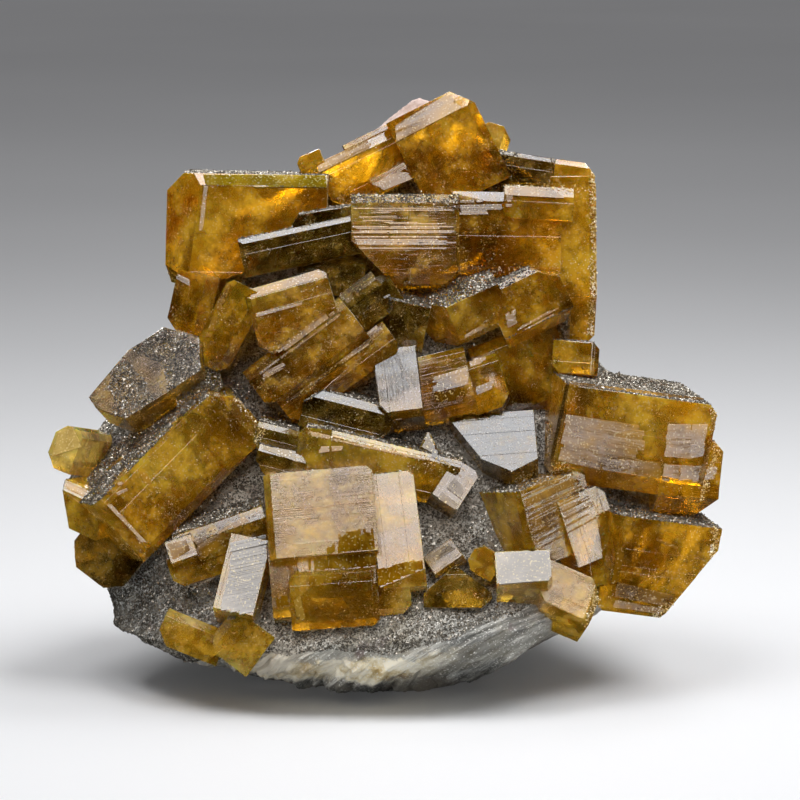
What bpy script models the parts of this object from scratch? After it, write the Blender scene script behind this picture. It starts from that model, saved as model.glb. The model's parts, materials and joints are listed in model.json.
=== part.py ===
"""A cluster of golden barite crystals grown on a lump of foliated rock, standing on the rock's flat foot.

Lengths are in millimetres until the last step, which turns the meshes into metres. +Z is up, +X runs to the
viewer's right and the crystals face the viewer along -Y. The origin is a point of the rock's flat foot.

Each crystal is a block whose front face is set out on a front elevation, drawn from 10 degrees above the
horizon: across and up are measured on that elevation from its middle, and back is the face's own Y.
"""

import math

import bmesh
import bpy
from mathutils import Matrix, Vector, noise

MM = 0.001
GAP = 0.3  # between one solid and the next, where crystals meet each other or the rock

VIEW_HEIGHT = 49.0  # the middle of the front elevation lies this far over the foot
VIEW_ELEVATION = math.radians(10)
VIEW_DISTANCE = 600.0

BLANK = 160.0  # side of the cube that a crystal's planes are cut from

# The edges and corners of a block that a cut can take off, named as the viewer sees them
TOP_FRONT = (0, -1, 1)
BOTTOM_FRONT = (0, -1, -1)
LEFT_FRONT = (-1, -1, 0)
RIGHT_FRONT = (1, -1, 0)
TOP_LEFT = (-1, 0, 1)
TOP_RIGHT = (1, 0, 1)
BOTTOM_LEFT = (-1, 0, -1)
BOTTOM_RIGHT = (1, 0, -1)

# Colour, roughness and metallic value of each material
FINISHES = {
    "amber": ((0.55, 0.27, 0.03), 0.12, 0.0),
    "olive": ((0.26, 0.17, 0.03), 0.12, 0.0),
    "honey": ((0.72, 0.50, 0.24), 0.15, 0.0),
    "rock": ((0.30, 0.30, 0.28), 0.75, 0.0),
}

# The rock's sections, from the foot up: height, then how far each reaches left, right, front and back
ROCK_SECTIONS = [
    (0.0, -20, 15, -19, 26),
    (1.5, -26, 18, -23, 29),
    (4.0, -35, 22, -28, 31),
    (7.5, -43, 28, -32.5, 33),
    (11.0, -48, 34, -35.5, 34),
    (13.5, -52, 39, -36.5, 35),
    (16.0, -52, 41, -34, 35.5),
    (20.0, -53, 44, -30, 36),
    (27.0, -55, 47, -25.5, 37),
    (34.0, -56, 49, -22, 37),
    (41.0, -54, 49, -18, 37),
    (48.0, -51, 41, -14, 36),
    (55.0, -47, 33, -11, 35),
    (61.5, -44, 32, -8, 34),
    (69.0, -38, 31, -5, 33),
    (76.0, -34, 31, -2, 31),
    (83.0, -31, 29, 2, 29),
    (89.0, -20, 17, 5, 27),
    (94.0, -10, 11, 8, 25),
    (98.0, -4, 8, 11, 22),
    (101.0, -1, 6, 13, 19),
]
ROCK_AROUND = 68  # points in each section
ROCK_SQUARENESS = 2.3  # 2 is an ellipse, and more is squarer
RIM_HEIGHT = 13.5  # where the bare rim under the crystals ends
RIM_SLANT = 0.06  # how far the sections rise towards the right from the rim up
CROWN_HEIGHT, CROWN_TOP, CROWN_SLANT = 84.0, 98.0, 0.35  # the same for the peak behind the crown crystals
LUMP_SIZE, LUMP_RISE = 13.0, 2.0
PIT_SIZE, PIT_RISE = 5.0, 0.9
LEDGE_PITCH, LEDGE_RISE = 8.5, 1.8  # the rock's layers break off in ledges, under the rim and behind
LEDGE_LIP = 0.72  # share of the pitch over which a ledge comes out, before it drops back
LAYER_NORMAL = Vector((-0.45, 0.35, 0.82)).normalized()
BARE_BEHIND = 8.0  # the ledges show from here back

# Lumps of rock that stand out between the crystals: middle, radius and rise
MOUNDS = [
    (Vector((-28, -5, 70)), 9, 6),
    (Vector((-50, -8, 44)), 17, 14),
    (Vector((-48, -6, 28)), 13, 5),
    (Vector((40, -8, 24)), 15, 8),
]

# Flat breaks that part the rock from the ground it grew on: outward direction and distance from the middle
ROCK_MIDDLE = Vector((0, 4, 48))
BREAKS = [
    ((-0.45, 0.88, 0.10), 33),
    ((0.58, 0.80, 0.05), 35),
    ((0.10, 0.97, -0.25), 32),
    ((-0.15, 0.90, 0.40), 32),
    ((0.45, 0.75, 0.48), 36),
    ((-0.80, 0.45, 0.38), 40),
    ((-0.86, 0.30, -0.42), 53),
    ((0.80, 0.30, -0.52), 49),
    ((0.15, 0.72, -0.68), 50),
]


def seen(across, up, back):
    """The point at y = back that shows at this place on the front elevation."""
    middle = Vector((0, 0, VIEW_HEIGHT))
    towards = Vector((0, -math.cos(VIEW_ELEVATION), math.sin(VIEW_ELEVATION)))
    upward = Vector((0, math.sin(VIEW_ELEVATION), math.cos(VIEW_ELEVATION)))
    eye = middle + towards * VIEW_DISTANCE
    on_plane = middle + Vector((across, 0, 0)) + upward * up
    share = (back - eye.y) / (on_plane.y - eye.y)
    return eye + (on_plane - eye) * share


def attitude(roll, turn, nod):
    """Turns a block from facing the viewer squarely. nod brings its top towards the viewer, turn looks to the
    viewer's right, and roll then tips it anticlockwise, all in degrees."""
    facing_viewer = Matrix.Rotation(-VIEW_ELEVATION, 4, "X")
    rolled = Matrix.Rotation(-math.radians(roll), 4, "Y")
    turned = Matrix.Rotation(math.radians(turn), 4, "Z")
    nodded = Matrix.Rotation(math.radians(nod), 4, "X")
    return facing_viewer @ rolled @ turned @ nodded


def block(across, up, back, size, roll=0, turn=0, nod=0, cuts=()):
    """One crystal: its placing and its bounding planes. size is width, height and depth, and each cut is a
    direction with the length that it takes off the block's edge."""
    width, height, depth = size
    planes = [
        (Vector((1, 0, 0)), width / 2),
        (Vector((-1, 0, 0)), width / 2),
        (Vector((0, 0, 1)), height / 2),
        (Vector((0, 0, -1)), height / 2),
        (Vector((0, -1, 0)), 0.0),
        (Vector((0, 1, 0)), depth),
    ]
    for direction, bite in cuts:
        normal = Vector(direction).normalized()
        corner = abs(normal.x) * width / 2 + abs(normal.z) * height / 2 + max(normal.y, 0) * depth
        largest = max(abs(part) for part in normal)
        planes.append((normal, corner - bite * largest))
    placing = Matrix.Translation(seen(across, up, back)) @ attitude(roll, turn, nod)
    return placing, planes


def block_behind(face_middle, size, roll=0, turn=0, nod=0, cuts=()):
    """One crystal on the far side, placed by the middle of the face that looks along +Y."""
    _, planes = block(0, 0, 0, size, cuts=cuts)
    about_face = Matrix.Rotation(math.radians(180 + turn), 4, "Z")
    rolled = Matrix.Rotation(-math.radians(roll), 4, "Y")
    nodded = Matrix.Rotation(math.radians(nod), 4, "X")
    placing = Matrix.Translation(face_middle) @ about_face @ rolled @ nodded
    return placing, planes


def upper_left_crystal():
    return [
        block(across=-27.9, up=30.2, back=-7, size=(28.5, 20.2, 22), roll=-1, nod=5, cuts=[
            ((-1, -0.8, 0.12), 6.6), (TOP_FRONT, 2), ((0.34, 0, -1), 8), (TOP_LEFT, 3.2),
            ((-1, -0.3, -1.2), 5.3)]),
    ]


def crown_crystals():
    return [
        block(across=8.8, up=45.1, back=-2, size=(15.5, 18, 18), roll=26.5, nod=3, cuts=[
            (TOP_FRONT, 3.5), (RIGHT_FRONT, 1.3), ((1, 0, 0.8), 2.9)]),
        block(across=-6.6, up=41.4, back=0, size=(14.5, 9, 14), roll=26, nod=4, cuts=[
            (TOP_FRONT, 1.6), (BOTTOM_LEFT, 2)]),
        block(across=-4.2, up=45.6, back=2, size=(10.5, 5.5, 10), roll=26, nod=4, cuts=[(TOP_FRONT, 0.8)]),
        block(across=-16.0, up=42.6, back=1, size=(4.4, 3.4, 9), roll=24, cuts=[(TOP_LEFT, 0.8)]),
        block(across=-1.6, up=39.8, back=-4.2, size=(6.6, 3, 7), roll=27, cuts=[(TOP_FRONT, 1)]),
    ]


def pale_back_crystal():
    return [
        block(across=16.5, up=45.4, back=5, size=(5.4, 8.4, 9), roll=-16, cuts=[
            (TOP_RIGHT, 1.8), (TOP_LEFT, 1), (RIGHT_FRONT, 1.4)]),
    ]


def upper_right_crystals():
    return [
        block(across=19.2, up=30.0, back=-9, size=(19, 14.3, 18), roll=-1, nod=2, cuts=[
            (TOP_FRONT, 1.6), (LEFT_FRONT, 0.9), (BOTTOM_FRONT, 1.4)]),
        block(across=25.0, up=35.4, back=-9.6, size=(12, 5.4, 15), roll=-3, nod=6, cuts=[(TOP_FRONT, 1.4)]),
        block(across=31.3, up=29.4, back=-8.3, size=(7.8, 21, 14), roll=0.5, nod=0.5, cuts=[
            ((-1, 0, -0.8), 3), (TOP_RIGHT, 1.2), (RIGHT_FRONT, 1.2)]),
        block(across=33.0, up=15.6, back=-7, size=(4.2, 9.5, 10), roll=-3, cuts=[
            (RIGHT_FRONT, 1.2), (BOTTOM_RIGHT, 1)]),
        block(across=31.2, up=39.0, back=-3, size=(7.2, 7.5, 13), roll=-8, cuts=[
            (TOP_RIGHT, 2), (TOP_FRONT, 0.8)]),
    ]


def upper_right_dark_crystal():
    return [
        block(across=21.2, up=40.0, back=-1, size=(12.4, 8.4, 14), roll=-9, cuts=[
            (LEFT_FRONT, 1.6), (TOP_FRONT, 0.6)]),
    ]


def upper_middle_crystal():
    return [
        block(across=0.9, up=29.2, back=-11, size=(18.6, 15.6, 18), nod=-5, cuts=[
            ((-1, 0, -0.95), 7), (BOTTOM_RIGHT, 2.2), (TOP_FRONT, 1.7), (BOTTOM_FRONT, 1.5)]),
    ]


def upper_shelf_crystals():
    return [
        block(across=-18.0, up=27.6, back=-10.5, size=(20.6, 6.6, 16), roll=12, nod=4, cuts=[
            (TOP_FRONT, 0.8), (LEFT_FRONT, 0.6)]),
        block(across=-13.6, up=32.2, back=-9, size=(11, 3.6, 13), roll=10, nod=5, cuts=[(TOP_LEFT, 1.4)]),
    ]


def small_upper_crystal():
    return [
        block(across=-12.4, up=22.8, back=-10, size=(11.6, 7.5, 12), roll=-6, nod=6, cuts=[
            (TOP_LEFT, 2.6), (TOP_FRONT, 2), (BOTTOM_RIGHT, 2)]),
    ]


def middle_left_crystal():
    return [
        block(across=-19.2, up=15.9, back=-16, size=(14.6, 12, 15), roll=16, nod=-4, cuts=[
            (TOP_FRONT, 1.9), (TOP_RIGHT, 1.1), (BOTTOM_RIGHT, 2.6), (BOTTOM_LEFT, 2), (LEFT_FRONT, 0.8)]),
    ]


def long_crystals():
    return [
        block(across=-17.1, up=8.3, back=-18, size=(21.3, 8.8, 12), roll=37.5, nod=-6, cuts=[
            (TOP_FRONT, 2.4), ((-1, 0, -1.6), 2), (BOTTOM_FRONT, 1)]),
        block(across=-11.2, up=4.9, back=-18.6, size=(22.9, 5.8, 13), roll=36, nod=-6, cuts=[
            (TOP_FRONT, 2), (BOTTOM_FRONT, 2), (BOTTOM_LEFT, 1.6), (BOTTOM_RIGHT, 1.2)]),
    ]


def small_middle_crystals():
    return [
        block(across=-7.6, up=19.4, back=-14, size=(8, 2.8, 10), roll=38, cuts=[(TOP_FRONT, 1)]),
        block(across=-3.2, up=19.2, back=-13, size=(5, 5.4, 10), roll=33, nod=4, cuts=[
            (TOP_FRONT, 1.2), (TOP_RIGHT, 1)]),
        block(across=-6.4, up=15.4, back=-14.6, size=(7, 4.6, 9), roll=36, cuts=[(TOP_RIGHT, 1)]),
    ]


def middle_dark_crystal():
    return [
        block(across=0.9, up=13.4, back=-14, size=(7.4, 8, 12), roll=-12, nod=16, cuts=[
            (LEFT_FRONT, 1), (BOTTOM_LEFT, 1.5)]),
    ]


def middle_right_crystals():
    return [
        block(across=11.7, up=14.0, back=-16, size=(15.9, 8, 17), roll=25, nod=24, cuts=[
            ((-1, -0.55, 0), 6), (BOTTOM_FRONT, 1.4), (BOTTOM_LEFT, 2)]),
        block(across=23.6, up=17.2, back=-14.5, size=(13, 11, 16), roll=26, nod=10, cuts=[
            ((1, 0, 1.2), 3.4), (BOTTOM_RIGHT, 2.2), (BOTTOM_FRONT, 2), (TOP_FRONT, 0.8)]),
    ]


def right_shoulder_crystal():
    return [
        block(across=31.6, up=7.6, back=-13, size=(8, 5.6, 11), roll=-4, cuts=[
            (BOTTOM_LEFT, 1.4), (TOP_RIGHT, 1), (RIGHT_FRONT, 1.2)]),
    ]


def centre_mirror_crystal():
    return [
        block(across=-0.3, up=3.2, back=-19, size=(7.2, 12.6, 12), roll=7, nod=-20, cuts=[
            ((-1, 0, -0.7), 1.8), (BOTTOM_FRONT, 1)]),
    ]


def centre_crystals():
    return [
        block(across=7.9, up=2.9, back=-18.5, size=(9.4, 11.4, 13), roll=13, nod=-8, cuts=[
            (TOP_FRONT, 1.8), (BOTTOM_FRONT, 1.6)]),
        block(across=15.4, up=3.0, back=-17, size=(6.6, 9.4, 13), roll=18, nod=-8, cuts=[
            (TOP_FRONT, 1.6), (BOTTOM_RIGHT, 1.8)]),
    ]


def centre_dark_crystal():
    return [
        block(across=22.6, up=4.6, back=-11, size=(16, 15, 16), roll=20, nod=6, cuts=[
            (TOP_FRONT, 1.6), (RIGHT_FRONT, 3), (BOTTOM_FRONT, 2)]),
    ]


def tilted_mirror_crystal():
    return [
        block(across=16.9, up=-7.9, back=-21, size=(14.6, 12, 12), roll=4, nod=-28, cuts=[
            ((-1, 0, -0.62), 7), ((-0.55, 0, -1), 6), ((0.47, 0, -1), 2.6)]),
    ]


def right_wing_crystals():
    return [
        block(across=42.6, up=-8.2, back=-22, size=(27, 17.4, 22), roll=-8, turn=11, nod=9, cuts=[
            (BOTTOM_FRONT, 4), (TOP_RIGHT, 1.6), (RIGHT_FRONT, 1.4), (BOTTOM_LEFT, 1.6)]),
        block(across=52.2, up=-13.8, back=-19, size=(10.6, 13, 16), roll=-6, turn=6, cuts=[
            (BOTTOM_RIGHT, 3.2), (TOP_RIGHT, 1.6), (BOTTOM_FRONT, 3)]),
    ]


def right_foot_crystal():
    return [
        block(across=46.8, up=-30.6, back=-24, size=(19.4, 17, 18), roll=-8, turn=12, nod=8, cuts=[
            ((1, 0, -0.6), 8), (BOTTOM_LEFT, 1), (LEFT_FRONT, 1.2), (BOTTOM_FRONT, 1)]),
    ]


def striated_crystals():
    return [
        block(across=28.6, up=-21.3, back=-26, size=(14.6, 13.6, 16), roll=18, turn=33, nod=8, cuts=[
            (LEFT_FRONT, 0.7)]),
        block(across=34.2, up=-22.6, back=-24, size=(9.5, 12, 14), roll=21, turn=28, nod=6, cuts=[
            (TOP_RIGHT, 1.5)]),
        block(across=33.6, up=-28.4, back=-24.5, size=(9, 10, 13), roll=8, turn=6, cuts=[
            (TOP_RIGHT, 1.6), (LEFT_FRONT, 2)]),
    ]


def front_right_crystals():
    return [
        block(across=22.2, up=-30.0, back=-32, size=(9.4, 6.2, 8), roll=3, nod=-34, cuts=[
            (BOTTOM_RIGHT, 0.8)]),
        block(across=30.6, up=-34.3, back=-31, size=(10.4, 7.6, 10), roll=-24, nod=-26, cuts=[
            (TOP_RIGHT, 2.5), (BOTTOM_LEFT, 2), (RIGHT_FRONT, 1.4)]),
    ]


def front_plate_crystals():
    return [
        block(across=-14.3, up=-20.2, back=-32, size=(18.6, 14.8, 14), roll=5, nod=-14, cuts=[
            (LEFT_FRONT, 1.2), (TOP_RIGHT, 0.9)]),
        block(across=-11.4, up=-30.2, back=-34, size=(13, 6.4, 13), roll=5, nod=-14),
        block(across=-0.6, up=-23.2, back=-31.2, size=(7.8, 19.8, 13), roll=7, nod=-15, cuts=[
            (TOP_RIGHT, 0.9), ((0.3, -1, -1), 2.4)]),
        block(across=-11.8, up=-35.6, back=-36, size=(14.8, 10, 11), roll=4, nod=-4, cuts=[
            (BOTTOM_FRONT, 1.2), (TOP_FRONT, 1), (BOTTOM_RIGHT, 0.9), (TOP_LEFT, 1.4), (RIGHT_FRONT, 0.9)]),
        block(across=-20.9, up=-32.2, back=-33.2, size=(4.6, 12.6, 10), roll=5, nod=-14, cuts=[
            (BOTTOM_FRONT, 1.4)]),
        block(across=-1.6, up=-35.6, back=-33.5, size=(6.6, 6.4, 10), roll=5, nod=-2, cuts=[
            (BOTTOM_RIGHT, 1.8), (TOP_RIGHT, 1), (BOTTOM_FRONT, 1.4)]),
    ]


def front_blade():
    return [block(across=-28.4, up=-31.4, back=-33, size=(7, 13.6, 9), roll=-11, turn=-6, nod=-20)]


def leaning_bar_crystal():
    return [
        block(across=-3.8, up=-12.2, back=-25, size=(27.4, 8.4, 12), roll=-13.5, nod=9, cuts=[
            ((1, 0, -0.6), 4.2), (TOP_FRONT, 0.9), (BOTTOM_FRONT, 1)]),
        block(across=-15.6, up=-9.8, back=-25.6, size=(5.4, 9, 10), roll=-6, nod=8, cuts=[
            (TOP_LEFT, 1.4), (LEFT_FRONT, 1.8)]),
    ]


def small_left_crystals():
    return [
        block(across=-21.4, up=-7.4, back=-23, size=(9, 4.4, 10), roll=-14, nod=10, cuts=[
            (TOP_FRONT, 0.8), (BOTTOM_LEFT, 1)]),
        block(across=-21.6, up=-11.6, back=-26, size=(8.4, 4.6, 11), roll=-15, nod=4, cuts=[
            (TOP_FRONT, 1), (BOTTOM_LEFT, 2)]),
    ]


def dark_slab_crystal():
    return [
        block(across=-9.6, up=-3.2, back=-21, size=(15.5, 6.6, 13), roll=-14, nod=10, cuts=[
            (TOP_LEFT, 2.6), (BOTTOM_RIGHT, 2.4), (TOP_FRONT, 1.2), (RIGHT_FRONT, 1.6)]),
    ]


def small_pyramid_crystal():
    return [
        block(across=5.0, up=-9.0, back=-23, size=(5, 6.4, 9), nod=-24, cuts=[
            ((-1, 0, 0.42), 2.4), ((1, 0, 0.42), 2.2)]),
    ]


def striped_small_crystal():
    return [
        block(across=10.1, up=-15.1, back=-26, size=(5, 7.8, 9), roll=-33, nod=-22, cuts=[
            (TOP_RIGHT, 0.8)]),
    ]


def left_wing_crystals():
    return [
        block(across=-40.2, up=-14.0, back=-25, size=(27.5, 13.6, 19), roll=46, turn=14, nod=17, cuts=[
            (LEFT_FRONT, 1.5), (BOTTOM_FRONT, 2), (TOP_RIGHT, 2)]),
        block(across=-58.0, up=-19.8, back=-22, size=(10, 7, 17), roll=-24, turn=-18, nod=12, cuts=[
            (TOP_FRONT, 1.4), ((-1, 0, -0.6), 4.6)]),
        block(across=-31.4, up=-5.0, back=-22, size=(9, 12, 14), roll=40, nod=12, cuts=[
            (TOP_RIGHT, 3), (RIGHT_FRONT, 2)]),
    ]


def left_end_crystal():
    return [
        block(across=-60.4, up=-8.7, back=-17, size=(5.2, 7.6, 12), roll=-22, turn=-22, nod=4, cuts=[
            (TOP_LEFT, 1.8), (BOTTOM_LEFT, 2), (TOP_RIGHT, 1)]),
    ]


def left_drusy_slab():
    return [
        block(across=-45.6, up=5.0, back=-18, size=(21.4, 10.6, 8), roll=33, nod=-22, cuts=[
            ((-0.34, 0, 1), 3.4), ((1, 0, 0.77), 4), ((1, 0, -0.5), 2.6), ((-1, 0, -0.7), 3.4)]),
        block(across=-36.8, up=4.4, back=-16, size=(8.4, 9.6, 12), roll=14, nod=-8, cuts=[
            (TOP_RIGHT, 2), (BOTTOM_RIGHT, 2)]),
    ]


def left_neck_crystals():
    return [
        block(across=-37.6, up=17.4, back=-11, size=(7, 10.5, 13), roll=-12, turn=-8, cuts=[
            (RIGHT_FRONT, 2), (BOTTOM_LEFT, 2)]),
        block(across=-31.2, up=13.3, back=-15.5, size=(15.4, 7, 13), roll=63, nod=-2, cuts=[
            (TOP_FRONT, 2), (TOP_RIGHT, 1), (BOTTOM_FRONT, 1.6), (BOTTOM_LEFT, 1.6)]),
    ]


def left_foot_crystal():
    return [
        block(across=-52.4, up=-27.0, back=-20, size=(11.6, 11.6, 15), roll=-38, nod=6, cuts=[
            (BOTTOM_LEFT, 3), (TOP_LEFT, 2.2), (BOTTOM_RIGHT, 2.4), (LEFT_FRONT, 2)]),
    ]


def left_bar_crystals():
    return [
        block(across=-31.8, up=-25.4, back=-29, size=(16, 6.4, 12), roll=19, nod=12, cuts=[
            (TOP_FRONT, 1.6), (BOTTOM_FRONT, 1.2)]),
        block(across=-39.4, up=-26.8, back=-30, size=(4.6, 3.8, 8), roll=20, nod=-18),
        block(across=-36.0, up=-29.6, back=-29, size=(10.4, 5, 10), roll=18, nod=-4, cuts=[
            (BOTTOM_FRONT, 1.6), (BOTTOM_LEFT, 1.4)]),
    ]


def rim_crystals():
    return [
        block(across=-28.8, up=-43.6, back=-36, size=(8.6, 8, 12), roll=-36, nod=-6, cuts=[
            (BOTTOM_LEFT, 2), (LEFT_FRONT, 1.4)]),
        block(across=-37.4, up=-42.6, back=-33, size=(11, 6, 12), roll=-22, nod=-6, cuts=[
            (BOTTOM_LEFT, 2), (TOP_FRONT, 1.4)]),
    ]


def front_small_crystals():
    return [
        block(across=10.4, up=-33.4, back=-32, size=(11.5, 7.4, 10), nod=-4, cuts=[
            ((-1, 0, 1.1), 5.2), ((1, 0, 1.3), 5), (BOTTOM_RIGHT, 1.5)]),
        block(across=7.7, up=-28.2, back=-29.5, size=(5.6, 3.6, 9), roll=35, nod=-22),
    ]


def front_bead_crystal():
    return [
        block(across=15.2, up=-29.2, back=-29.5, size=(5, 4.6, 8), roll=-30, cuts=[
            (TOP_LEFT, 1.2), (TOP_RIGHT, 1.2), (BOTTOM_LEFT, 1.2)]),
    ]


def back_left_crystals():
    return [
        block_behind((-20, 34, 73), size=(17, 13, 16), roll=14, turn=14, cuts=[
            (TOP_FRONT, 2), (LEFT_FRONT, 2)]),
        block_behind((-30, 30, 62), size=(14, 10, 15), roll=-18, turn=30, cuts=[
            (TOP_FRONT, 1.6), (BOTTOM_LEFT, 2)]),
        block_behind((-13, 36, 61), size=(12, 8, 13), roll=30, turn=6, cuts=[
            (TOP_FRONT, 1.4), (TOP_RIGHT, 1.5)]),
    ]


def back_right_crystals():
    return [
        block_behind((20, 32, 75), size=(14, 15, 15), roll=-12, turn=-16, cuts=[
            (TOP_FRONT, 2.4), (TOP_LEFT, 2)]),
        block_behind((28, 31, 62), size=(15, 9, 14), roll=20, turn=-26, cuts=[
            (TOP_FRONT, 1.6), (BOTTOM_FRONT, 2)]),
    ]


def back_top_crystal():
    return [
        block_behind((1, 28, 89), size=(15, 10, 14), roll=-10, nod=4, cuts=[
            (TOP_FRONT, 2), (TOP_RIGHT, 3)]),
    ]


def back_low_crystals():
    return [
        block_behind((-34, 34, 33), size=(15, 12, 13), roll=26, turn=22, cuts=[
            (TOP_FRONT, 2), (BOTTOM_RIGHT, 2)]),
        block_behind((-43, 27, 42), size=(13, 9, 14), roll=8, turn=44, cuts=[
            (TOP_FRONT, 1.8), (TOP_LEFT, 2)]),
    ]


def back_right_low_crystals():
    return [
        block_behind((38, 29, 40), size=(15, 12, 15), roll=-22, turn=-38, cuts=[
            (TOP_FRONT, 2), (BOTTOM_LEFT, 2)]),
        block_behind((30, 35, 29), size=(12, 9, 13), roll=30, turn=-16, cuts=[
            (TOP_FRONT, 1.6), (TOP_RIGHT, 2)]),
    ]


# Every solid of crystal with its material, from the viewer inwards: each is cut back from those before it
CRYSTALS = [
    (front_plate_crystals, "honey"),
    (front_blade, "honey"),
    (rim_crystals, "honey"),
    (front_right_crystals, "honey"),
    (front_small_crystals, "olive"),
    (front_bead_crystal, "amber"),
    (left_bar_crystals, "amber"),
    (striated_crystals, "amber"),
    (right_foot_crystal, "amber"),
    (striped_small_crystal, "olive"),
    (leaning_bar_crystal, "amber"),
    (small_left_crystals, "olive"),
    (left_wing_crystals, "amber"),
    (left_foot_crystal, "olive"),
    (small_pyramid_crystal, "olive"),
    (right_wing_crystals, "amber"),
    (tilted_mirror_crystal, "olive"),
    (dark_slab_crystal, "olive"),
    (long_crystals, "amber"),
    (centre_mirror_crystal, "olive"),
    (centre_crystals, "amber"),
    (left_end_crystal, "honey"),
    (left_drusy_slab, "olive"),
    (middle_left_crystal, "amber"),
    (left_neck_crystals, "amber"),
    (middle_right_crystals, "amber"),
    (small_middle_crystals, "olive"),
    (middle_dark_crystal, "olive"),
    (upper_middle_crystal, "amber"),
    (upper_shelf_crystals, "olive"),
    (upper_right_crystals, "amber"),
    (centre_dark_crystal, "amber"),
    (right_shoulder_crystal, "amber"),
    (small_upper_crystal, "olive"),
    (upper_left_crystal, "amber"),
    (crown_crystals, "amber"),
    (upper_right_dark_crystal, "olive"),
    (pale_back_crystal, "honey"),
    (back_top_crystal, "honey"),
    (back_left_crystals, "amber"),
    (back_right_crystals, "amber"),
    (back_low_crystals, "olive"),
    (back_right_low_crystals, "amber"),
]


def material(name):
    """The Principled material of this name, made on first use."""
    found = bpy.data.materials.get(name)
    if found:
        return found
    colour, roughness, metallic = FINISHES[name]
    made = bpy.data.materials.new(name)
    made.use_nodes = True
    made.diffuse_color = (*colour, 1)
    shader = made.node_tree.nodes["Principled BSDF"]
    shader.inputs["Base Color"].default_value = (*colour, 1)
    shader.inputs["Roughness"].default_value = roughness
    shader.inputs["Metallic"].default_value = metallic
    return made


def new_object(name, mesh_builder):
    """An object in the scene from a bmesh, which is freed."""
    mesh = bpy.data.meshes.new(name)
    mesh_builder.to_mesh(mesh)
    mesh_builder.free()
    made = bpy.data.objects.new(name, mesh)
    bpy.context.scene.collection.objects.link(made)
    return made


def crystal_solid(crystal, grow=0.0):
    """The convex solid inside a crystal's planes, each moved out by grow."""
    placing, planes = crystal
    shape = bmesh.new()
    bmesh.ops.create_cube(shape, size=BLANK)
    for normal, distance in planes:
        everything = shape.verts[:] + shape.edges[:] + shape.faces[:]
        cut = bmesh.ops.bisect_plane(
            shape, geom=everything, plane_co=normal * (distance + grow), plane_no=normal, clear_outer=True
        )
        rim = [part for part in cut["geom_cut"] if isinstance(part, bmesh.types.BMEdge)]
        if rim:
            bmesh.ops.edgeloop_fill(shape, edges=rim)
    bmesh.ops.recalc_face_normals(shape, faces=shape.faces)
    bmesh.ops.transform(shape, matrix=placing, verts=shape.verts)
    return new_object("crystal", shape)


def bounds(obj):
    """Lowest and highest corner of a mesh whose object sits at the origin."""
    points = [vertex.co for vertex in obj.data.vertices]
    lowest = Vector([min(point[axis] for point in points) for axis in range(3)])
    highest = Vector([max(point[axis] for point in points) for axis in range(3)])
    return lowest, highest


def near(one, other):
    """True if the boxes round two objects meet."""
    (low, high), (other_low, other_high) = bounds(one), bounds(other)
    return all(low[axis] < other_high[axis] and other_low[axis] < high[axis] for axis in range(3))


def combine(target, operation, tool):
    """Applies one exact Boolean to the target's mesh."""
    modifier = target.modifiers.new("combine", "BOOLEAN")
    modifier.operation = operation
    modifier.object = tool
    graph = bpy.context.evaluated_depsgraph_get()
    changed = bpy.data.meshes.new_from_object(target.evaluated_get(graph))
    target.modifiers.clear()
    target.data = changed


def keep_largest_body(obj):
    """Drops the chips that a cut has parted from the main body."""
    shape = bmesh.new()
    shape.from_mesh(obj.data)
    unseen, bodies = set(shape.verts), []
    while unseen:
        body, frontier = set(), [unseen.pop()]
        while frontier:
            vertex = frontier.pop()
            body.add(vertex)
            for edge in vertex.link_edges:
                other = edge.other_vert(vertex)
                if other in unseen:
                    unseen.remove(other)
                    frontier.append(other)
        bodies.append(body)
    area = {id(body): sum(face.calc_area() for face in shape.faces if face.verts[0] in body) for body in bodies}
    largest = max(bodies, key=lambda body: area[id(body)])
    bmesh.ops.delete(shape, geom=[vertex for vertex in shape.verts if vertex not in largest], context="VERTS")
    bmesh.ops.recalc_face_normals(shape, faces=shape.faces)
    shape.to_mesh(obj.data)
    shape.free()


def rounded_section(section, angle):
    """The point of a level section in this direction."""
    height, left, right, front, back = section
    across, along = math.cos(angle), math.sin(angle)
    half_width, half_depth = (right - left) / 2, (back - front) / 2
    power = 2 / ROCK_SQUARENESS
    x = (left + right) / 2 + half_width * math.copysign(abs(across) ** power, across)
    y = (front + back) / 2 + half_depth * math.copysign(abs(along) ** power, along)
    return Vector((x, y, height))


def slanted(point):
    """The point moved up or down, because the rock's sections rise towards the right."""
    slant = RIM_SLANT * min(point.z / RIM_HEIGHT, 1)
    slant += CROWN_SLANT * max(0, (point.z - CROWN_HEIGHT) / (CROWN_TOP - CROWN_HEIGHT))
    return point + Vector((0, 0, slant * point.x))


def rock_relief(point):
    """How far the rock stands out of its smooth sections here: lumps, pits and, where it is bare, layers."""
    lump = noise.noise(point / LUMP_SIZE) * LUMP_RISE
    pit = noise.noise(point / PIT_SIZE + Vector((7.0, 3.0, 5.0))) * PIT_RISE
    bare = point.z < RIM_HEIGHT or point.y > BARE_BEHIND
    along = (point.dot(LAYER_NORMAL) / LEDGE_PITCH) % 1
    out = along / LEDGE_LIP if along < LEDGE_LIP else (1 - along) / (1 - LEDGE_LIP)
    ledge = (out - 0.5) * LEDGE_RISE if bare else 0
    mound = sum(rise * max(0, 1 - (point - middle).length / radius) for middle, radius, rise in MOUNDS)
    return lump + pit + ledge + mound


def broken(point):
    """The point, moved back onto each flat break that it lies beyond."""
    for direction, distance in BREAKS:
        normal = Vector(direction).normalized()
        beyond = (point - ROCK_MIDDLE).dot(normal) - distance
        if beyond > 0:
            point = point - normal * beyond
    return point


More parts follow.
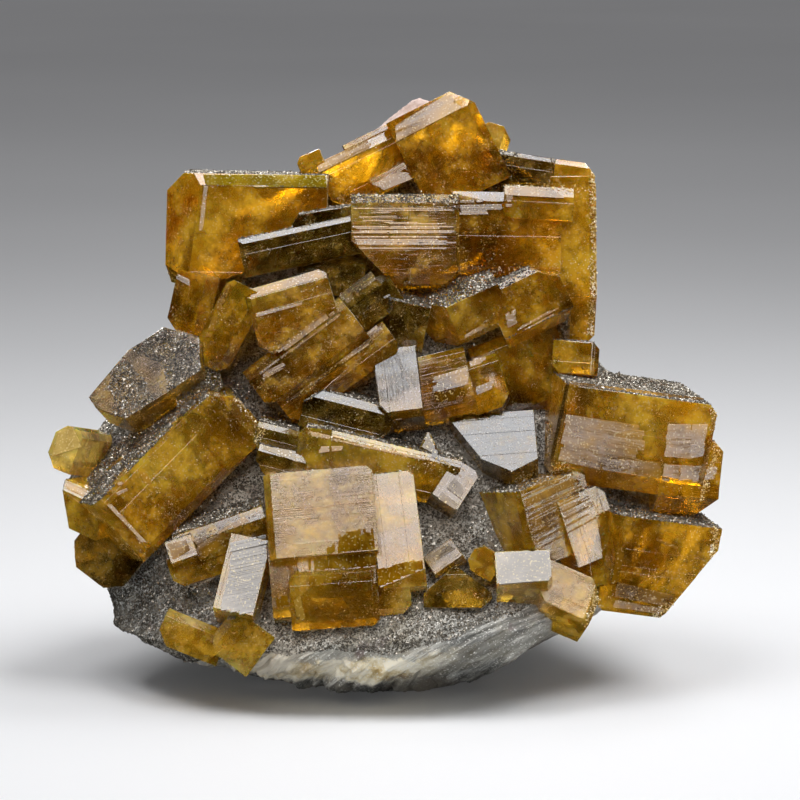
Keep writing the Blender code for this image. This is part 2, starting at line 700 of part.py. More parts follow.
def rock_solid():
    """The rock: its sections joined into one skin, with its relief, closed by the flat foot and a small top."""
    shape = bmesh.new()
    loops = []
    for section in ROCK_SECTIONS:
        loop = []
        for step in range(ROCK_AROUND):
            point = rounded_section(section, 2 * math.pi * step / ROCK_AROUND)
            outward = Vector((point.x, point.y, 0)).normalized()
            if section[0] > 0:
                point = slanted(broken(point) + outward * rock_relief(point))
            loop.append(shape.verts.new(point))
        loops.append(loop)
    for lower, upper in zip(loops, loops[1:]):
        for step in range(ROCK_AROUND):
            following = (step + 1) % ROCK_AROUND
            shape.faces.new((lower[step], lower[following], upper[following], upper[step]))
    shape.faces.new(reversed(loops[0]))
    peak = sum((vertex.co for vertex in loops[-1]), Vector()) / ROCK_AROUND
    bmesh.ops.pointmerge(shape, verts=loops[-1], merge_co=peak)
    bmesh.ops.recalc_face_normals(shape, faces=shape.faces)
    bmesh.ops.triangulate(shape, faces=shape.faces)
    return shape


def swollen(obj, by):
    """A copy of an object with its skin moved out, to cut its neighbours with."""
    shape = bmesh.new()
    shape.from_mesh(obj.data)
    shape.normal_update()
    for vertex, normal in [(vertex, vertex.normal.copy()) for vertex in shape.verts]:
        vertex.co += normal * by
    return new_object("swollen", shape)


def finish(obj, name, finish_name):
    """Names a solid, gives it its material, and turns its millimetres into metres."""
    obj.name = name
    obj.data.name = name
    obj.data.materials.clear()
    obj.data.materials.append(material(finish_name))
    for face in obj.data.polygons:
        face.material_index = 0
    obj.data.transform(Matrix.Scale(MM, 4))


def main():
    for old in list(bpy.data.objects):
        bpy.data.objects.remove(old)
    rock = new_object("rock", rock_solid())
    rock_cutter = swollen(rock, GAP)
    cutters, solids = [], []
    for crystals_of, finish_name in CRYSTALS:
        crystals = crystals_of()
        solid, *others = [crystal_solid(crystal) for crystal in crystals]
        for other in others:
            combine(solid, "UNION", other)
            bpy.data.objects.remove(other)
        for cutter in [rock_cutter, *cutters]:
            if near(solid, cutter):
                combine(solid, "DIFFERENCE", cutter)
        keep_largest_body(solid)
        solids.append((solid, crystals_of.__name__, finish_name))
        cutters += [crystal_solid(crystal, GAP) for crystal in crystals]
    for cutter in [rock_cutter, *cutters]:
        bpy.data.objects.remove(cutter)
    finish(rock, "rock_matrix", "rock")
    for solid, name, finish_name in solids:
        finish(solid, name, finish_name)


main()
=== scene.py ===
"""The barite crystal cluster dressed for its picture: crystals, druse, rock, floor, lights and camera.

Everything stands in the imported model's own frame, in metres: +Z is up and the crystals face -Y.
"""
import json
import math
import random
from collections import namedtuple

import bmesh
import bpy
import numpy as np
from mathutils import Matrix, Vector, noise
from mathutils.bvhtree import BVHTree


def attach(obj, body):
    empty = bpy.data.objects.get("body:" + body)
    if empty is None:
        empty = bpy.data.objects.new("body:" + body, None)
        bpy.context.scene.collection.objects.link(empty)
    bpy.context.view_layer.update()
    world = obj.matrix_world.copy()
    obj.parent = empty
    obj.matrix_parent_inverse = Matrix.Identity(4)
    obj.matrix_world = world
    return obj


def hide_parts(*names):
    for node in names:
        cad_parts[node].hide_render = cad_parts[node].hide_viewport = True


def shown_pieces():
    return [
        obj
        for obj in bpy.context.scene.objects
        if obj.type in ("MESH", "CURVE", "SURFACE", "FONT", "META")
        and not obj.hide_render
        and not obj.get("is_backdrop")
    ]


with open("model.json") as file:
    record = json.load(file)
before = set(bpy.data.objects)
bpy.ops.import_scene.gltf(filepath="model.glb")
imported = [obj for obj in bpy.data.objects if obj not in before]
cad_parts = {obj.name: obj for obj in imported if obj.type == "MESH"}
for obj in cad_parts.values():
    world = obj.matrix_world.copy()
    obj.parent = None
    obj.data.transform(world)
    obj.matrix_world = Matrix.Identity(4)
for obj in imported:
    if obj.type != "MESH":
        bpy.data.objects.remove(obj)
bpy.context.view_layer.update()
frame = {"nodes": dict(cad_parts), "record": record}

MM = 0.001
WELD = 0.005 * MM  # points of the imported meshes nearer than this are one point
FLAT = math.radians(0.6)  # faces that differ by less lie in one plane

# Camera, at the photograph's viewing angle
VIEW_HEIGHT = 49 * MM
VIEW_ELEVATION = math.radians(10)
VIEW_DISTANCE = 0.6
LENS, SENSOR = 150, 36
IMAGE = 800  # pixels along a side of the photograph
EYE = Vector((0, -math.cos(VIEW_ELEVATION) * VIEW_DISTANCE,
              VIEW_HEIGHT + math.sin(VIEW_ELEVATION) * VIEW_DISTANCE))
CLIP_START = 10 * MM
PIXEL = 0.18 * MM  # what a pixel spans at the crystals

GROW = 0.13 * MM  # crystals are set this far out, which closes the gaps between them
CHAMFER = 0.17 * MM
SHARP = math.radians(18)  # edges that bend by more than this are chamfered

# Growth steps run along a face's longest edge. Their measures are in mm
STEPPED_AREA = 6  # smaller faces, in mm2, stay flat
FIRST_STEP = (0.5, 2.0)  # how far the first step is from the face's side
NEXT_STEP = (1.0, 7.0)  # and how far on the next one is
STEP_MARGIN = 0.4  # no step is nearer than this to the other side
STEP_DEPTH = (0.02, 0.07)
DEPTH_LIMITS = (-0.06, 0.14)
HALF_SLOPE = 0.03  # half the width of a step's slope
GRAIN_SHIFT = 7.3  # from face to face, so that no two faces have the same streaks

RIM_HEIGHT = 10 * MM  # below this the middle of the rock's rim is bare of crystals and druse
RIM_RISE = 0.30  # how steeply the bare rim's border rises to the right of the middle
RIM_FALL = 0.36  # and how steeply it falls at the far left
RIM_FALL_FROM = -24 * MM
RIM_LEAST, RIM_MOST_RISE = 2.5 * MM, 8 * MM
RIM_FADE, RIM_WANDER = 2.5 * MM, 1.2 * MM  # how softly the rim's border fades and how far it wanders
RIM_OVER = 2 * MM  # how far over its border the rim is divided finely
BARE_TOP = 96 * MM  # above this the rock is bare
BARE_BEHIND = 12 * MM  # and so is its far side
SIDE_FADE, SIDE_WANDER = 5 * MM, 9 * MM  # and the border of that side
NEARLY_COVERED = 0.2  # rock that is barer than this is divided finely
BORDER_WAVES = ((9 * MM, 1.0), (3.5 * MM, 0.5))  # waves are pairs of a size and a height
BED_WAVES = ((1.6 * MM, 0.25 * MM),)  # under the druse

FOOT = 0.3 * MM  # the rock's skin stays flat below this
LAYERS = ((3.1 * MM, 0.55 * MM), (1.25 * MM, 0.40 * MM), (0.62 * MM, 0.16 * MM))  # pitch and height
LAYER_CREST = 0.75  # where a layer is highest, as a share of its pitch
LAYER_NORMAL = Vector((-0.45, 0.35, 0.82)).normalized()  # the rock's layers lie across this
LAYER_WAVES = ((14 * MM, 1.6 * MM), (4 * MM, 0.35 * MM))
SHEET_WAVE = 9 * MM  # the size of the torn places in a layer
GRIT_WAVES = ((0.9 * MM, 0.10 * MM),)


def nodes_of_slot(slot):
    """Names of the CAD nodes that have this material slot in the record."""
    return [part["node"] for part in frame["record"]["subparts"] if part["material_slot"] == slot]


def pixel_ray(pixel):
    """The direction from the camera through a pixel of the photograph."""
    across = (pixel[0] - IMAGE / 2) / IMAGE * SENSOR / LENS
    up = (IMAGE / 2 - pixel[1]) / IMAGE * SENSOR / LENS
    sine, cosine = math.sin(VIEW_ELEVATION), math.cos(VIEW_ELEVATION)
    return Vector((across, cosine + up * sine, up * cosine - sine)).normalized()


def direction_of(azimuth, elevation):
    """A direction by its angles in degrees. Azimuth 0 is the viewer's side, and + is to the right."""
    turn, rise = math.radians(azimuth), math.radians(elevation)
    return Vector((math.sin(turn) * math.cos(rise), -math.cos(turn) * math.cos(rise), math.sin(rise)))


def ripple(place, waves):
    """Noise at a point, added up from waves of a size and a height."""
    return sum(noise.noise(place / size) * height for size, height in waves)


def tree_of(meshes):
    """One tree of many meshes for ray casts, and the mesh that each of its faces is from."""
    points, faces, owners = [], [], []
    for mesh in meshes:
        start = len(points)
        points += [vertex.co.copy() for vertex in mesh.vertices]
        faces += [[start + index for index in face.vertices] for face in mesh.polygons]
        owners += [mesh] * len(mesh.polygons)
    return BVHTree.FromPolygons(points, faces), owners


def node_shape(node):
    """The node's mesh as a bmesh, with its doubled points joined."""
    shape = bmesh.new()
    shape.from_mesh(frame["nodes"][node].data)
    bmesh.ops.remove_doubles(shape, verts=shape.verts, dist=WELD)
    return shape


def mesh_of(name, shape):
    """A mesh from a bmesh, which is used up."""
    mesh = bpy.data.meshes.new(name)
    shape.to_mesh(mesh)
    shape.free()
    return mesh


def place_object(name, data):
    """A new object in the scene."""
    made = bpy.data.objects.new(name, data)
    bpy.context.scene.collection.objects.link(made)
    return made


def new_piece(name, mesh, material, slot, *replaced):
    """A mesh object that rides on the root and stands for the nodes that it replaces."""
    piece = place_object(name, mesh)
    mesh.materials.append(material)
    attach(piece, "root")
    if replaced:
        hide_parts(*replaced)
    return piece


# Crystal meshes

def flat_shape(node):
    """The node's mesh as a bmesh of flat many-sided faces."""
    shape = node_shape(node)
    bmesh.ops.dissolve_limit(shape, angle_limit=FLAT, verts=shape.verts, edges=shape.edges)
    shape.normal_update()
    return shape


def chamfer(shape, width):
    """Takes a narrow chamfer off the shape's convex edges."""
    edges = []
    for edge in shape.edges:
        if len(edge.link_faces) == 2 and edge.is_convex and edge.calc_face_angle() > SHARP:
            if edge.calc_length() > 4 * width:
                edges.append(edge)
    bmesh.ops.bevel(shape, geom=edges, offset=width, offset_type="OFFSET", segments=1, profile=0.5,
                    affect="EDGES", clamp_overlap=True)
    shape.normal_update()


def long_direction(face):
    """The direction of the face's longest edge."""
    longest = max(face.edges, key=lambda edge: edge.calc_length())
    return (longest.verts[1].co - longest.verts[0].co).normalized()


def face_plans(shape, group):
    """The faces that get growth steps: {number: (centre, normal, along, across, nearest, furthest)}."""
    plans = {}
    for number, face in enumerate(shape.faces):
        face[group] = number
        if face.calc_area() < STEPPED_AREA * MM * MM:
            continue
        along = long_direction(face)
        normal = face.normal.copy()
        across = normal.cross(along).normalized()
        centre = face.calc_center_median()
        reach = [(vertex.co - centre).dot(across) for vertex in face.verts]
        plans[number] = (centre, normal, along, across, min(reach), max(reach))
    return plans


def cut_steps(shape, group, plans, rng):
    """Cuts the faces along their steps' slopes: {number: [(position, depth)]}."""
    depths = {}
    for number, (centre, _, _, across, nearest, furthest) in plans.items():
        position = nearest + rng.uniform(*FIRST_STEP) * MM
        steps, depth = [], 0.0
        while position < furthest - STEP_MARGIN * MM:
            for side in (-HALF_SLOPE * MM, HALF_SLOPE * MM):
                faces = [face for face in shape.faces if face[group] == number]
                edges = dict.fromkeys(edge for face in faces for edge in face.edges)
                corners = dict.fromkeys(vertex for face in faces for vertex in face.verts)
                bmesh.ops.bisect_plane(shape, geom=[*faces, *edges, *corners], plane_no=across,
                                       plane_co=centre + across * (position + side))
            depth += rng.choice((-1, 1)) * rng.uniform(*STEP_DEPTH) * MM
            depth = min(max(depth, DEPTH_LIMITS[0] * MM), DEPTH_LIMITS[1] * MM)
            steps.append((position, depth))
            position += rng.uniform(*NEXT_STEP) * MM
        depths[number] = steps
    return depths


def step_moves(shape, group, plans, depths):
    """How far each vertex of a stepped face moves: {(vertex, number): move}."""
    moves = {}
    for face in shape.faces:
        number = face[group]
        if number not in plans:
            continue
        centre, normal, _, across, _, _ = plans[number]
        for vertex in face.verts:
            if (vertex, number) in moves:
                continue
            place = (vertex.co - centre).dot(across)
            passed = [depth for position, depth in depths[number] if place >= position]
            moves[vertex, number] = normal * -(passed[-1] if passed else 0.0)
    return moves


def outward_moves(shape):
    """The moves that set a crystal's surface out by GROW: {vertex: move}."""
    moves = {}
    for vertex in shape.verts:
        normals = {}
        for face in vertex.link_faces:
            normals[tuple(round(part, 2) for part in face.normal)] = face.normal.copy()
        moves[vertex] = sum(normals.values(), Vector()).normalized() * GROW
    return moves


def crystal_shape(node, seed):
    """A crystal node's solid with chamfered edges, growth steps on its faces, and a grain for its shader."""
    rng = random.Random(seed)
    shape = flat_shape(node)
    chamfer(shape, CHAMFER)
    group = shape.faces.layers.int.new("group")
    plans = face_plans(shape, group)
    depths = cut_steps(shape, group, plans, rng)
    steps = step_moves(shape, group, plans, depths)
    for vertex, move in outward_moves(shape).items():
        vertex.co += move
    for (vertex, _), move in steps.items():
        vertex.co += move
    bmesh.ops.triangulate(shape, faces=shape.faces)
    grain = shape.loops.layers.float_vector.new("grain")
    for face in shape.faces:
        shift = face[group] * GRAIN_SHIFT
        for loop in face.loops:
            if face[group] in plans:
                centre, _, along, across, _, _ = plans[face[group]]
                offset = loop.vert.co - centre
                loop[grain] = Vector((offset.dot(across) / MM, offset.dot(along) / MM, shift))
            else:
                loop[grain] = Vector((loop.vert.co.x / MM, loop.vert.co.z / MM, shift))
    return shape


# Materials

def put(tree, socket, value):
    """Links the socket where the value is a socket itself, and sets it to the value otherwise."""
    if isinstance(value, bpy.types.NodeSocket):
        tree.links.new(value, socket)
    elif socket.type == "RGBA":
        socket.default_value = (*value, 1)
    else:
        socket.default_value = value


def add_node(tree, kind, inputs, **settings):
    """A shader node with its settings, and with its inputs linked or set."""
    made = tree.nodes.new("ShaderNode" + kind)
    for name, value in settings.items():
        setattr(made, name, value)
    for name, value in inputs.items():
        put(tree, made.inputs[name], value)
    return made


def node_material(name):
    """A node material with its output, and the place in the object as a socket."""
    made = bpy.data.materials.new(name)
    made.use_nodes = True
    tree = made.node_tree
    tree.nodes.clear()
    output = add_node(tree, "OutputMaterial", {})
    place = add_node(tree, "TexCoord", {}).outputs["Object"]
    return made, tree, output, place


def ramp(tree, factor, stops):
    """A colour ramp node fed by factor: stops are (position, colour) pairs."""
    made = add_node(tree, "ValToRGB", {"Fac": factor})
    elements = made.color_ramp.elements
    while len(elements) > 1:
        elements.remove(elements[-1])
    elements[0].position = stops[0][0]
    elements[0].color = (*stops[0][1], 1)
    for position, colour in stops[1:]:
        elements.new(position).color = (*colour, 1)
    return made.outputs["Color"]


def share_ramp(tree, factor, *stops):
    """A ramp of shares from 0 to 1: stops are (position, share) pairs."""
    return ramp(tree, factor, [(position, (share,) * 3) for position, share in stops])


def noise_texture(tree, vector, scale=1.0, detail=4.0, roughness=0.55, distortion=0.0):
    """Noise from 0 to 1 in the vector's space."""
    inputs = {"Vector": vector, "Scale": scale, "Detail": detail, "Roughness": roughness,
              "Distortion": distortion}
    return add_node(tree, "TexNoise", inputs).outputs["Fac"]


def scaled(tree, vector, scale=(1, 1, 1), location=(0, 0, 0), rotation=(0, 0, 0)):
    """The vector stretched, turned and moved by a mapping node."""
    inputs = {"Vector": vector, "Scale": scale, "Location": location, "Rotation": rotation}
    return add_node(tree, "Mapping", inputs).outputs["Vector"]


def mixed(tree, factor, first, second, blend="MIX"):
    """Mixes two colours: each is a socket or a plain colour."""
    inputs = {0: factor, 6: first, 7: second}
    return add_node(tree, "Mix", inputs, data_type="RGBA", blend_type=blend).outputs[2]


def tinted(tree, colour, tint, texture, *stops):
    """A colour mixed with a tint by a ramp of a texture: stops are (position, share) pairs."""
    return mixed(tree, share_ramp(tree, texture, *stops), colour, tint)


def maths(tree, operation, first, second=0.0, third=0.0):
    """A sum or a product of numbers or sockets."""
    return add_node(tree, "Math", {0: first, 1: second, 2: third}, operation=operation).outputs[0]


def bump(tree, height, distance, strength, normal=None):
    """A normal that follows a height, over another normal where one is given."""
    inputs = {"Height": height, "Distance": distance, "Strength": strength}
    if normal:
        inputs["Normal"] = normal
    return add_node(tree, "Bump", inputs).outputs["Normal"]


def add_surface(tree, output, inputs):
    """The shader of a material's surface."""
    shader = add_node(tree, "BsdfPrincipled", inputs)
    tree.links.new(shader.outputs["BSDF"], output.inputs["Surface"])


# Painted light and painted shade: places where the crystals' colour is made paler (+) or darker (-) than
# usual, to stand for the light and shade seen there: pixel, reach in pixels, amount
PAINTED_LIGHT_AND_SHADE = {
    "left_wing": ((158, 468), 60, 0.30),
    "left_wing_low": ((150, 530), 38, 0.10),
    "left_wing_right": ((222, 424), 38, -0.12),
    "leaning_bar": ((380, 450), 60, 0.36),
    "leaning_bar_left": ((325, 455), 40, 0.20),
    "upper_left": ((205, 235), 70, 0.12),
    "upper_left_right": ((300, 215), 40, -0.06),
    "upper_right_body": ((485, 265), 60, -0.32),
    "upper_right_edge": ((584, 260), 55, 0.24),
    "upper_middle_low": ((400, 270), 45, -0.16),
    "plate_top": ((320, 500), 60, -0.03),
    "striated_left": ((500, 510), 32, 0.24),
    "plate_low": ((350, 612), 60, -0.34),
    "right_wing_top": ((640, 398), 45, 0.30),
    "right_wing_end": ((705, 415), 40, 0.20),
    "right_wing_low": ((600, 478), 45, -0.12),
    "right_foot_left": ((640, 560), 45, -0.10),
    "right_foot_end": ((700, 560), 40, 0.10),
    "centre_dark": ((436, 400), 40, -0.36),
    "centre_low": ((520, 400), 40, -0.12),
    "centre_mirror": ((400, 380), 35, -0.20),
    "tilted_mirror": ((495, 440), 50, -0.20),
    "left_end": ((68, 440), 40, 0.45),
    "left_foot": ((105, 560), 35, 0.14),
    "olive_shelf": ((300, 243), 50, -0.12),
    "middle_right": ((500, 350), 45, 0.08),
    "crown": ((450, 140), 50, 0.12),
    "middle_shadow": ((300, 410), 35, -0.12),
}

# Painted shade: deep gaps between the crystals, where the colour of rock and druse is darkened to stand for
# the dark there: pixel, reach in pixels, amount
PAINTED_SHADE_IN_GAPS = {
    "centre": ((405, 420), 62, 0.85),
    "beside_tilted_mirror": ((556, 440), 36, 0.6),
    "middle_left": ((262, 345), 40, 0.5),
    "under_right_wing": ((600, 508), 40, 0.5),
}

CRYSTAL_SLOTS = ("barite_amber", "barite_olive", "barite_pale")


def painted_places(places):
    """Places of painted light and shade as points on the nodes that they are seen on: {slot: [(point, reach,
    amount)]}.
    """
    slots = (*CRYSTAL_SLOTS, "matrix_rock")
    slot_of = {frame["nodes"][node].data: slot for slot in slots for node in nodes_of_slot(slot)}
    tree, owners = tree_of(slot_of)
    found = {slot: [] for slot in slots}
    for pixel, reach, amount in places.values():
        place, _, index, _ = tree.ray_cast(EYE, pixel_ray(pixel))
        if place:
            found[slot_of[owners[index]]].append((place, reach * PIXEL, amount))
    return found


PAINTED_SPOTS_BY_SLOT = painted_places(PAINTED_LIGHT_AND_SHADE)
PAINTED_GAP_SHADE_SPOTS = sum(painted_places(PAINTED_SHADE_IN_GAPS).values(), [])


def painted_shading_nodes(tree, place, painted_spots):
    """The painted light and shade of the places added up: 0 where there is none."""
    total = 0.0
    for point, reach, amount in painted_spots:
        away = add_node(tree, "VectorMath", {0: place, 1: point}, operation="DISTANCE").outputs["Value"]
        fading = {"Value": away, "From Min": 0.0, "From Max": reach, "To Min": amount, "To Max": 0.0}
        faded = add_node(tree, "MapRange", fading, interpolation_type="SMOOTHSTEP").outputs["Result"]
        total = maths(tree, "ADD", total, faded)
    return total


BARITE_IOR = 1.64
SPECK_COLOUR = (1.0, 0.82, 0.40)
# Painted shade: the near-black colour that rock and druse are darkened to in the deep gaps
PAINTED_SHADE_COLOUR = (0.015, 0.013, 0.01)  # of rock and druse deep between the crystals


def barite(slot, name, dark, body, light, transmission, glow, mottle=0.4, absorbed=None, density=0):
    """Barite: a clear, glossy skin over a clouded, see-through body with brown and pale patches, and painted
    light and shade at listed places.
    """
    made, tree, output, place = node_material(name)
    grain = add_node(tree, "Attribute", {}, attribute_name="grain").outputs["Vector"]

    broad = noise_texture(tree, place, 80, detail=2, roughness=0.5)
    patches = noise_texture(tree, place, 330, detail=4, roughness=0.68)
    clouds = noise_texture(tree, scaled(tree, place, location=(0.3, 0.1, 0.2)), 260, detail=4, roughness=0.65)
    streaks = noise_texture(tree, scaled(tree, grain, (2.6, 0.30, 1)), detail=3, roughness=0.65)
    specks = noise_texture(tree, place, 3000, detail=0)
    # Painted light and shade: paler (+) or darker (-) colour at the listed places, and the paler places are
    # also cloudier
    painted_light_shift = painted_shading_nodes(tree, place, PAINTED_SPOTS_BY_SLOT[slot])
    broad = maths(tree, "ADD", broad, painted_light_shift)
    clouds = maths(tree, "ADD", clouds, maths(tree, "MULTIPLY", painted_light_shift, 0.5))

    colour = ramp(tree, broad, [(0.34, dark), (0.50, body), (0.68, light)])
    colour = tinted(tree, colour, dark, patches, (0.36, mottle + 0.1), (0.50, 0))
    colour = tinted(tree, colour, light, clouds, (0.50, 0), (0.66, mottle))
    colour = tinted(tree, colour, light, streaks, (0.52, 0), (0.72, 0.4))
    colour = tinted(tree, colour, SPECK_COLOUR, specks, (0.66, 0), (0.72, 0.5))
    clear = share_ramp(tree, clouds, (0.38, transmission), (0.52, transmission - 0.12),
                       (0.68, transmission - 0.34))
    cloudy = share_ramp(tree, clouds, (0.42, 0.07), (0.58, 0.27))

    lines = noise_texture(tree, scaled(tree, grain, (6.0, 0.12, 1)), detail=2, roughness=0.65)
    waves = noise_texture(tree, place, 180, detail=1)
    normal = bump(tree, waves, 0.10 * MM, 0.5)
    normal = bump(tree, lines, 0.030 * MM, 0.8, normal)
    add_surface(tree, output, {
        "Base Color": colour, "Roughness": cloudy, "Transmission Weight": clear, "IOR": BARITE_IOR,
        "Specular IOR Level": 0.0, "Normal": normal,
        "Subsurface Weight": glow, "Subsurface Radius": (1.0, 0.5, 0.08), "Subsurface Scale": 3 * MM,
        "Coat Weight": 1.0, "Coat Roughness": 0.03, "Coat IOR": BARITE_IOR, "Coat Normal": normal,
    })
    if density:
        absorption = add_node(tree, "VolumeAbsorption", {"Color": absorbed, "Density": density})
        tree.links.new(absorption.outputs["Volume"], output.inputs["Volume"])
    return made


def rock_material():
    """Grey foliated rock with a cream band along the front of its rim, brown patches and a pinkish top, with
    painted glints and with painted shade in the gaps between the crystals.
    """
    made, tree, output, place = node_material("foliated_rock")
    tilt = LAYER_NORMAL.to_track_quat("Z", "Y").inverted().to_euler()
    turned = scaled(tree, place, rotation=tilt)
    layers = noise_texture(tree, scaled(tree, turned, (90, 60, 900)), detail=6, roughness=0.65,
                           distortion=0.2)
    grey = ramp(tree, layers, [(0.36, (0.05, 0.052, 0.048)), (0.45, (0.20, 0.205, 0.19)),
                               (0.55, (0.38, 0.385, 0.365)), (0.64, (0.72, 0.72, 0.68))])
    fine_layers = noise_texture(tree, scaled(tree, turned, (500, 300, 3500)), detail=3, roughness=0.6)
    grey = tinted(tree, grey, (0.11, 0.11, 0.105), fine_layers, (0.44, 0.7), (0.56, 0))
    blotches = noise_texture(tree, place, 190, detail=6, roughness=0.66)
    cream = ramp(tree, blotches, [(0.36, (0.50, 0.36, 0.14)), (0.44, (0.76, 0.66, 0.42)),
                                  (0.54, (0.95, 0.90, 0.74))])
    across, _, up = add_node(tree, "SeparateXYZ", {0: place}).outputs

    # The cream band: up and down the rim, and from left to right
    wander = maths(tree, "SUBTRACT", noise_texture(tree, place, 140, detail=7, roughness=0.7), 0.5)
    rim = add_node(tree, "Attribute", {}, attribute_name="rim").outputs["Fac"]
    band = share_ramp(tree, maths(tree, "ADD", rim, wander), (0.38, 0), (0.54, 1), (0.92, 1), (1.0, 0.2))
    sideways = maths(tree, "MULTIPLY_ADD", wander, 0.15, 0.5)
    sideways = maths(tree, "MULTIPLY_ADD", across, 10.0, sideways)
    within = share_ramp(tree, sideways, (0.18, 0), (0.26, 1), (0.50, 1), (0.60, 0.12))
    colour = mixed(tree, mixed(tree, 1.0, band, within, "MULTIPLY"), grey, cream)

    stains = noise_texture(tree, scaled(tree, place, location=(0.11, 0.07, 0.03)), 150, detail=4)
    colour = tinted(tree, colour, (0.16, 0.11, 0.11), stains, (0.60, 0), (0.68, 0.7))
    # Painted glints: near-white specks in the rock's colour stand for the sparkle of its grains
    painted_glints = noise_texture(tree, place, 2600, detail=1)
    colour = tinted(tree, colour, (0.9, 0.9, 0.86), painted_glints, (0.62, 0), (0.68, 0.8))
    patches = noise_texture(tree, scaled(tree, place, location=(0.05, 0.02, 0.01)), 60, detail=4)
    colour = tinted(tree, colour, (0.38, 0.34, 0.28), patches, (0.48, 0), (0.64, 0.75))
    pink = ramp(tree, blotches, [(0.40, (0.36, 0.26, 0.22)), (0.60, (0.62, 0.50, 0.46))])
    colour = tinted(tree, colour, pink, maths(tree, "MULTIPLY", up, 5.0), (0.455, 0), (0.475, 1))
    # Painted shade: rock in the deep gaps between the crystals is darkened
    colour = mixed(tree, painted_shading_nodes(tree, place, PAINTED_GAP_SHADE_SPOTS), colour, PAINTED_SHADE_COLOUR)

    fine = noise_texture(tree, place, 1500, detail=4)
    normal = bump(tree, layers, 0.35 * MM, 0.8)
    normal = bump(tree, fine, 0.12 * MM, 0.8, normal)
    add_surface(tree, output, {"Base Color": colour, "Normal": normal,
                               "Roughness": maths(tree, "MULTIPLY_ADD", blotches, 0.35, 0.5)})
    return made


# Each kind of barite: its colours, how see-through it is, how it glows within, and how it takes up light
MATERIALS = {
    "barite_amber": barite("barite_amber", "amber_barite", dark=(0.24, 0.107, 0.002),
                           body=(0.83, 0.43, 0.004), light=(1.0, 0.62, 0.04), transmission=0.91, glow=0.5,
                           mottle=0.46, absorbed=(0.96, 0.795, 0.03), density=88),
    "barite_olive": barite("barite_olive", "olive_barite", dark=(0.05, 0.028, 0.002),
                           body=(0.26, 0.145, 0.005), light=(0.62, 0.39, 0.04), transmission=0.93, glow=0.5,
                           mottle=0.6, absorbed=(0.86, 0.69, 0.06), density=170),
    "barite_pale": barite("barite_pale", "pale_barite", dark=(0.40, 0.21, 0.006), body=(0.80, 0.48, 0.02),
                          light=(1.0, 0.76, 0.20), transmission=0.88, glow=0.5, mottle=0.3,
                          absorbed=(0.96, 0.80, 0.15), density=80),
    "matrix_rock": rock_material(),
}

# The skins of the terraces, which are too thin for a volume that takes up light
SKINS = {
    "barite_amber": barite("barite_amber", "amber_terrace", dark=(0.13, 0.056, 0.002),
                           body=(0.30, 0.140, 0.004), light=(0.50, 0.27, 0.02), transmission=0.45, glow=0.0),
    "barite_olive": barite("barite_olive", "olive_terrace", dark=(0.035, 0.019, 0.002),
                           body=(0.10, 0.055, 0.004), light=(0.22, 0.13, 0.015), transmission=0.45, glow=0.0),
    "honey": barite("barite_amber", "honey_terrace", dark=(0.20, 0.085, 0.001), body=(0.44, 0.20, 0.002),
                    light=(0.68, 0.40, 0.03), transmission=0.55, glow=0.5),
    "barite_pale": barite("barite_pale", "pale_terrace", dark=(0.28, 0.16, 0.01), body=(0.46, 0.28, 0.04),
                          light=(0.66, 0.47, 0.14), transmission=0.45, glow=0.0),
    "milky": barite("barite_pale", "milky_terrace", dark=(0.17, 0.14, 0.10), body=(0.27, 0.23, 0.18),
                    light=(0.42, 0.37, 0.30), transmission=0.45, glow=0.0),
}
# The slots of the skins that aren't named after one
SKIN_SLOTS = {"honey": "barite_amber", "milky": "barite_pale"}

looks = {}
for slot in CRYSTAL_SLOTS:
    for node in nodes_of_slot(slot):
        mesh = mesh_of(node + "_look", crystal_shape(node, seed=sum(map(ord, node))))
        looks[node] = new_piece(node + "_look", mesh, MATERIALS[slot], slot, node)

TREE, FACE_MESHES = tree_of([piece.data for piece in looks.values()])


# Terraces: growth steps, bevels and striated bands on the crystals' faces

SUPPORT = 0.45 * MM  # a terrace stays where the crystal is nearer than this
PROBE = 2.0  # pixels between the probes along a strip
PROBE_GAP = 4.5  # a run of probes on one face goes on over gaps of fewer probes than this
SHORTEST_RUN = 1.5  # probes
SHORTEST_STRIP = 0.08  # as a share of its patch
SAME_HEIGHT = 0.2 * MM  # faces whose heights differ by less are one
SAME_FACE = 0.997  # and whose normals have a cosine over this between them
ALIKE = 0.995  # the same for choosing the face that most of a patch lies on
NEAR_USUAL = 0.8  # a strip stays on faces that are this near to the patch's face
OVERLAP = 0.05  # how far a strip reaches over the next one, as a share of its width
WOBBLE = 1.5  # degrees by which strips lean unevenly
STRIP_HEIGHT = (0.03, 0.07)  # how far a strip lies above its face, in mm
SEED_STEP, FIRST_SEED = 31, 5
GRAIN_PLACE = 3.1  # where the terraces' streaks are in their noise
LEAN_LIMIT = math.radians(42)
STAND = 0.08 * MM  # a leaning strip stands out no further than this
PITCH = 0.55 * MM  # the raised end of a strip that turns away from the lights
ROOT = 0.3 * MM  # how deep a terrace reaches into its crystal

# What a terrace mirrors: azimuth and elevation, in degrees
TARGETS = {"softbox": (0, 64), "panel": (5, 42), "dark": (0, 14)}

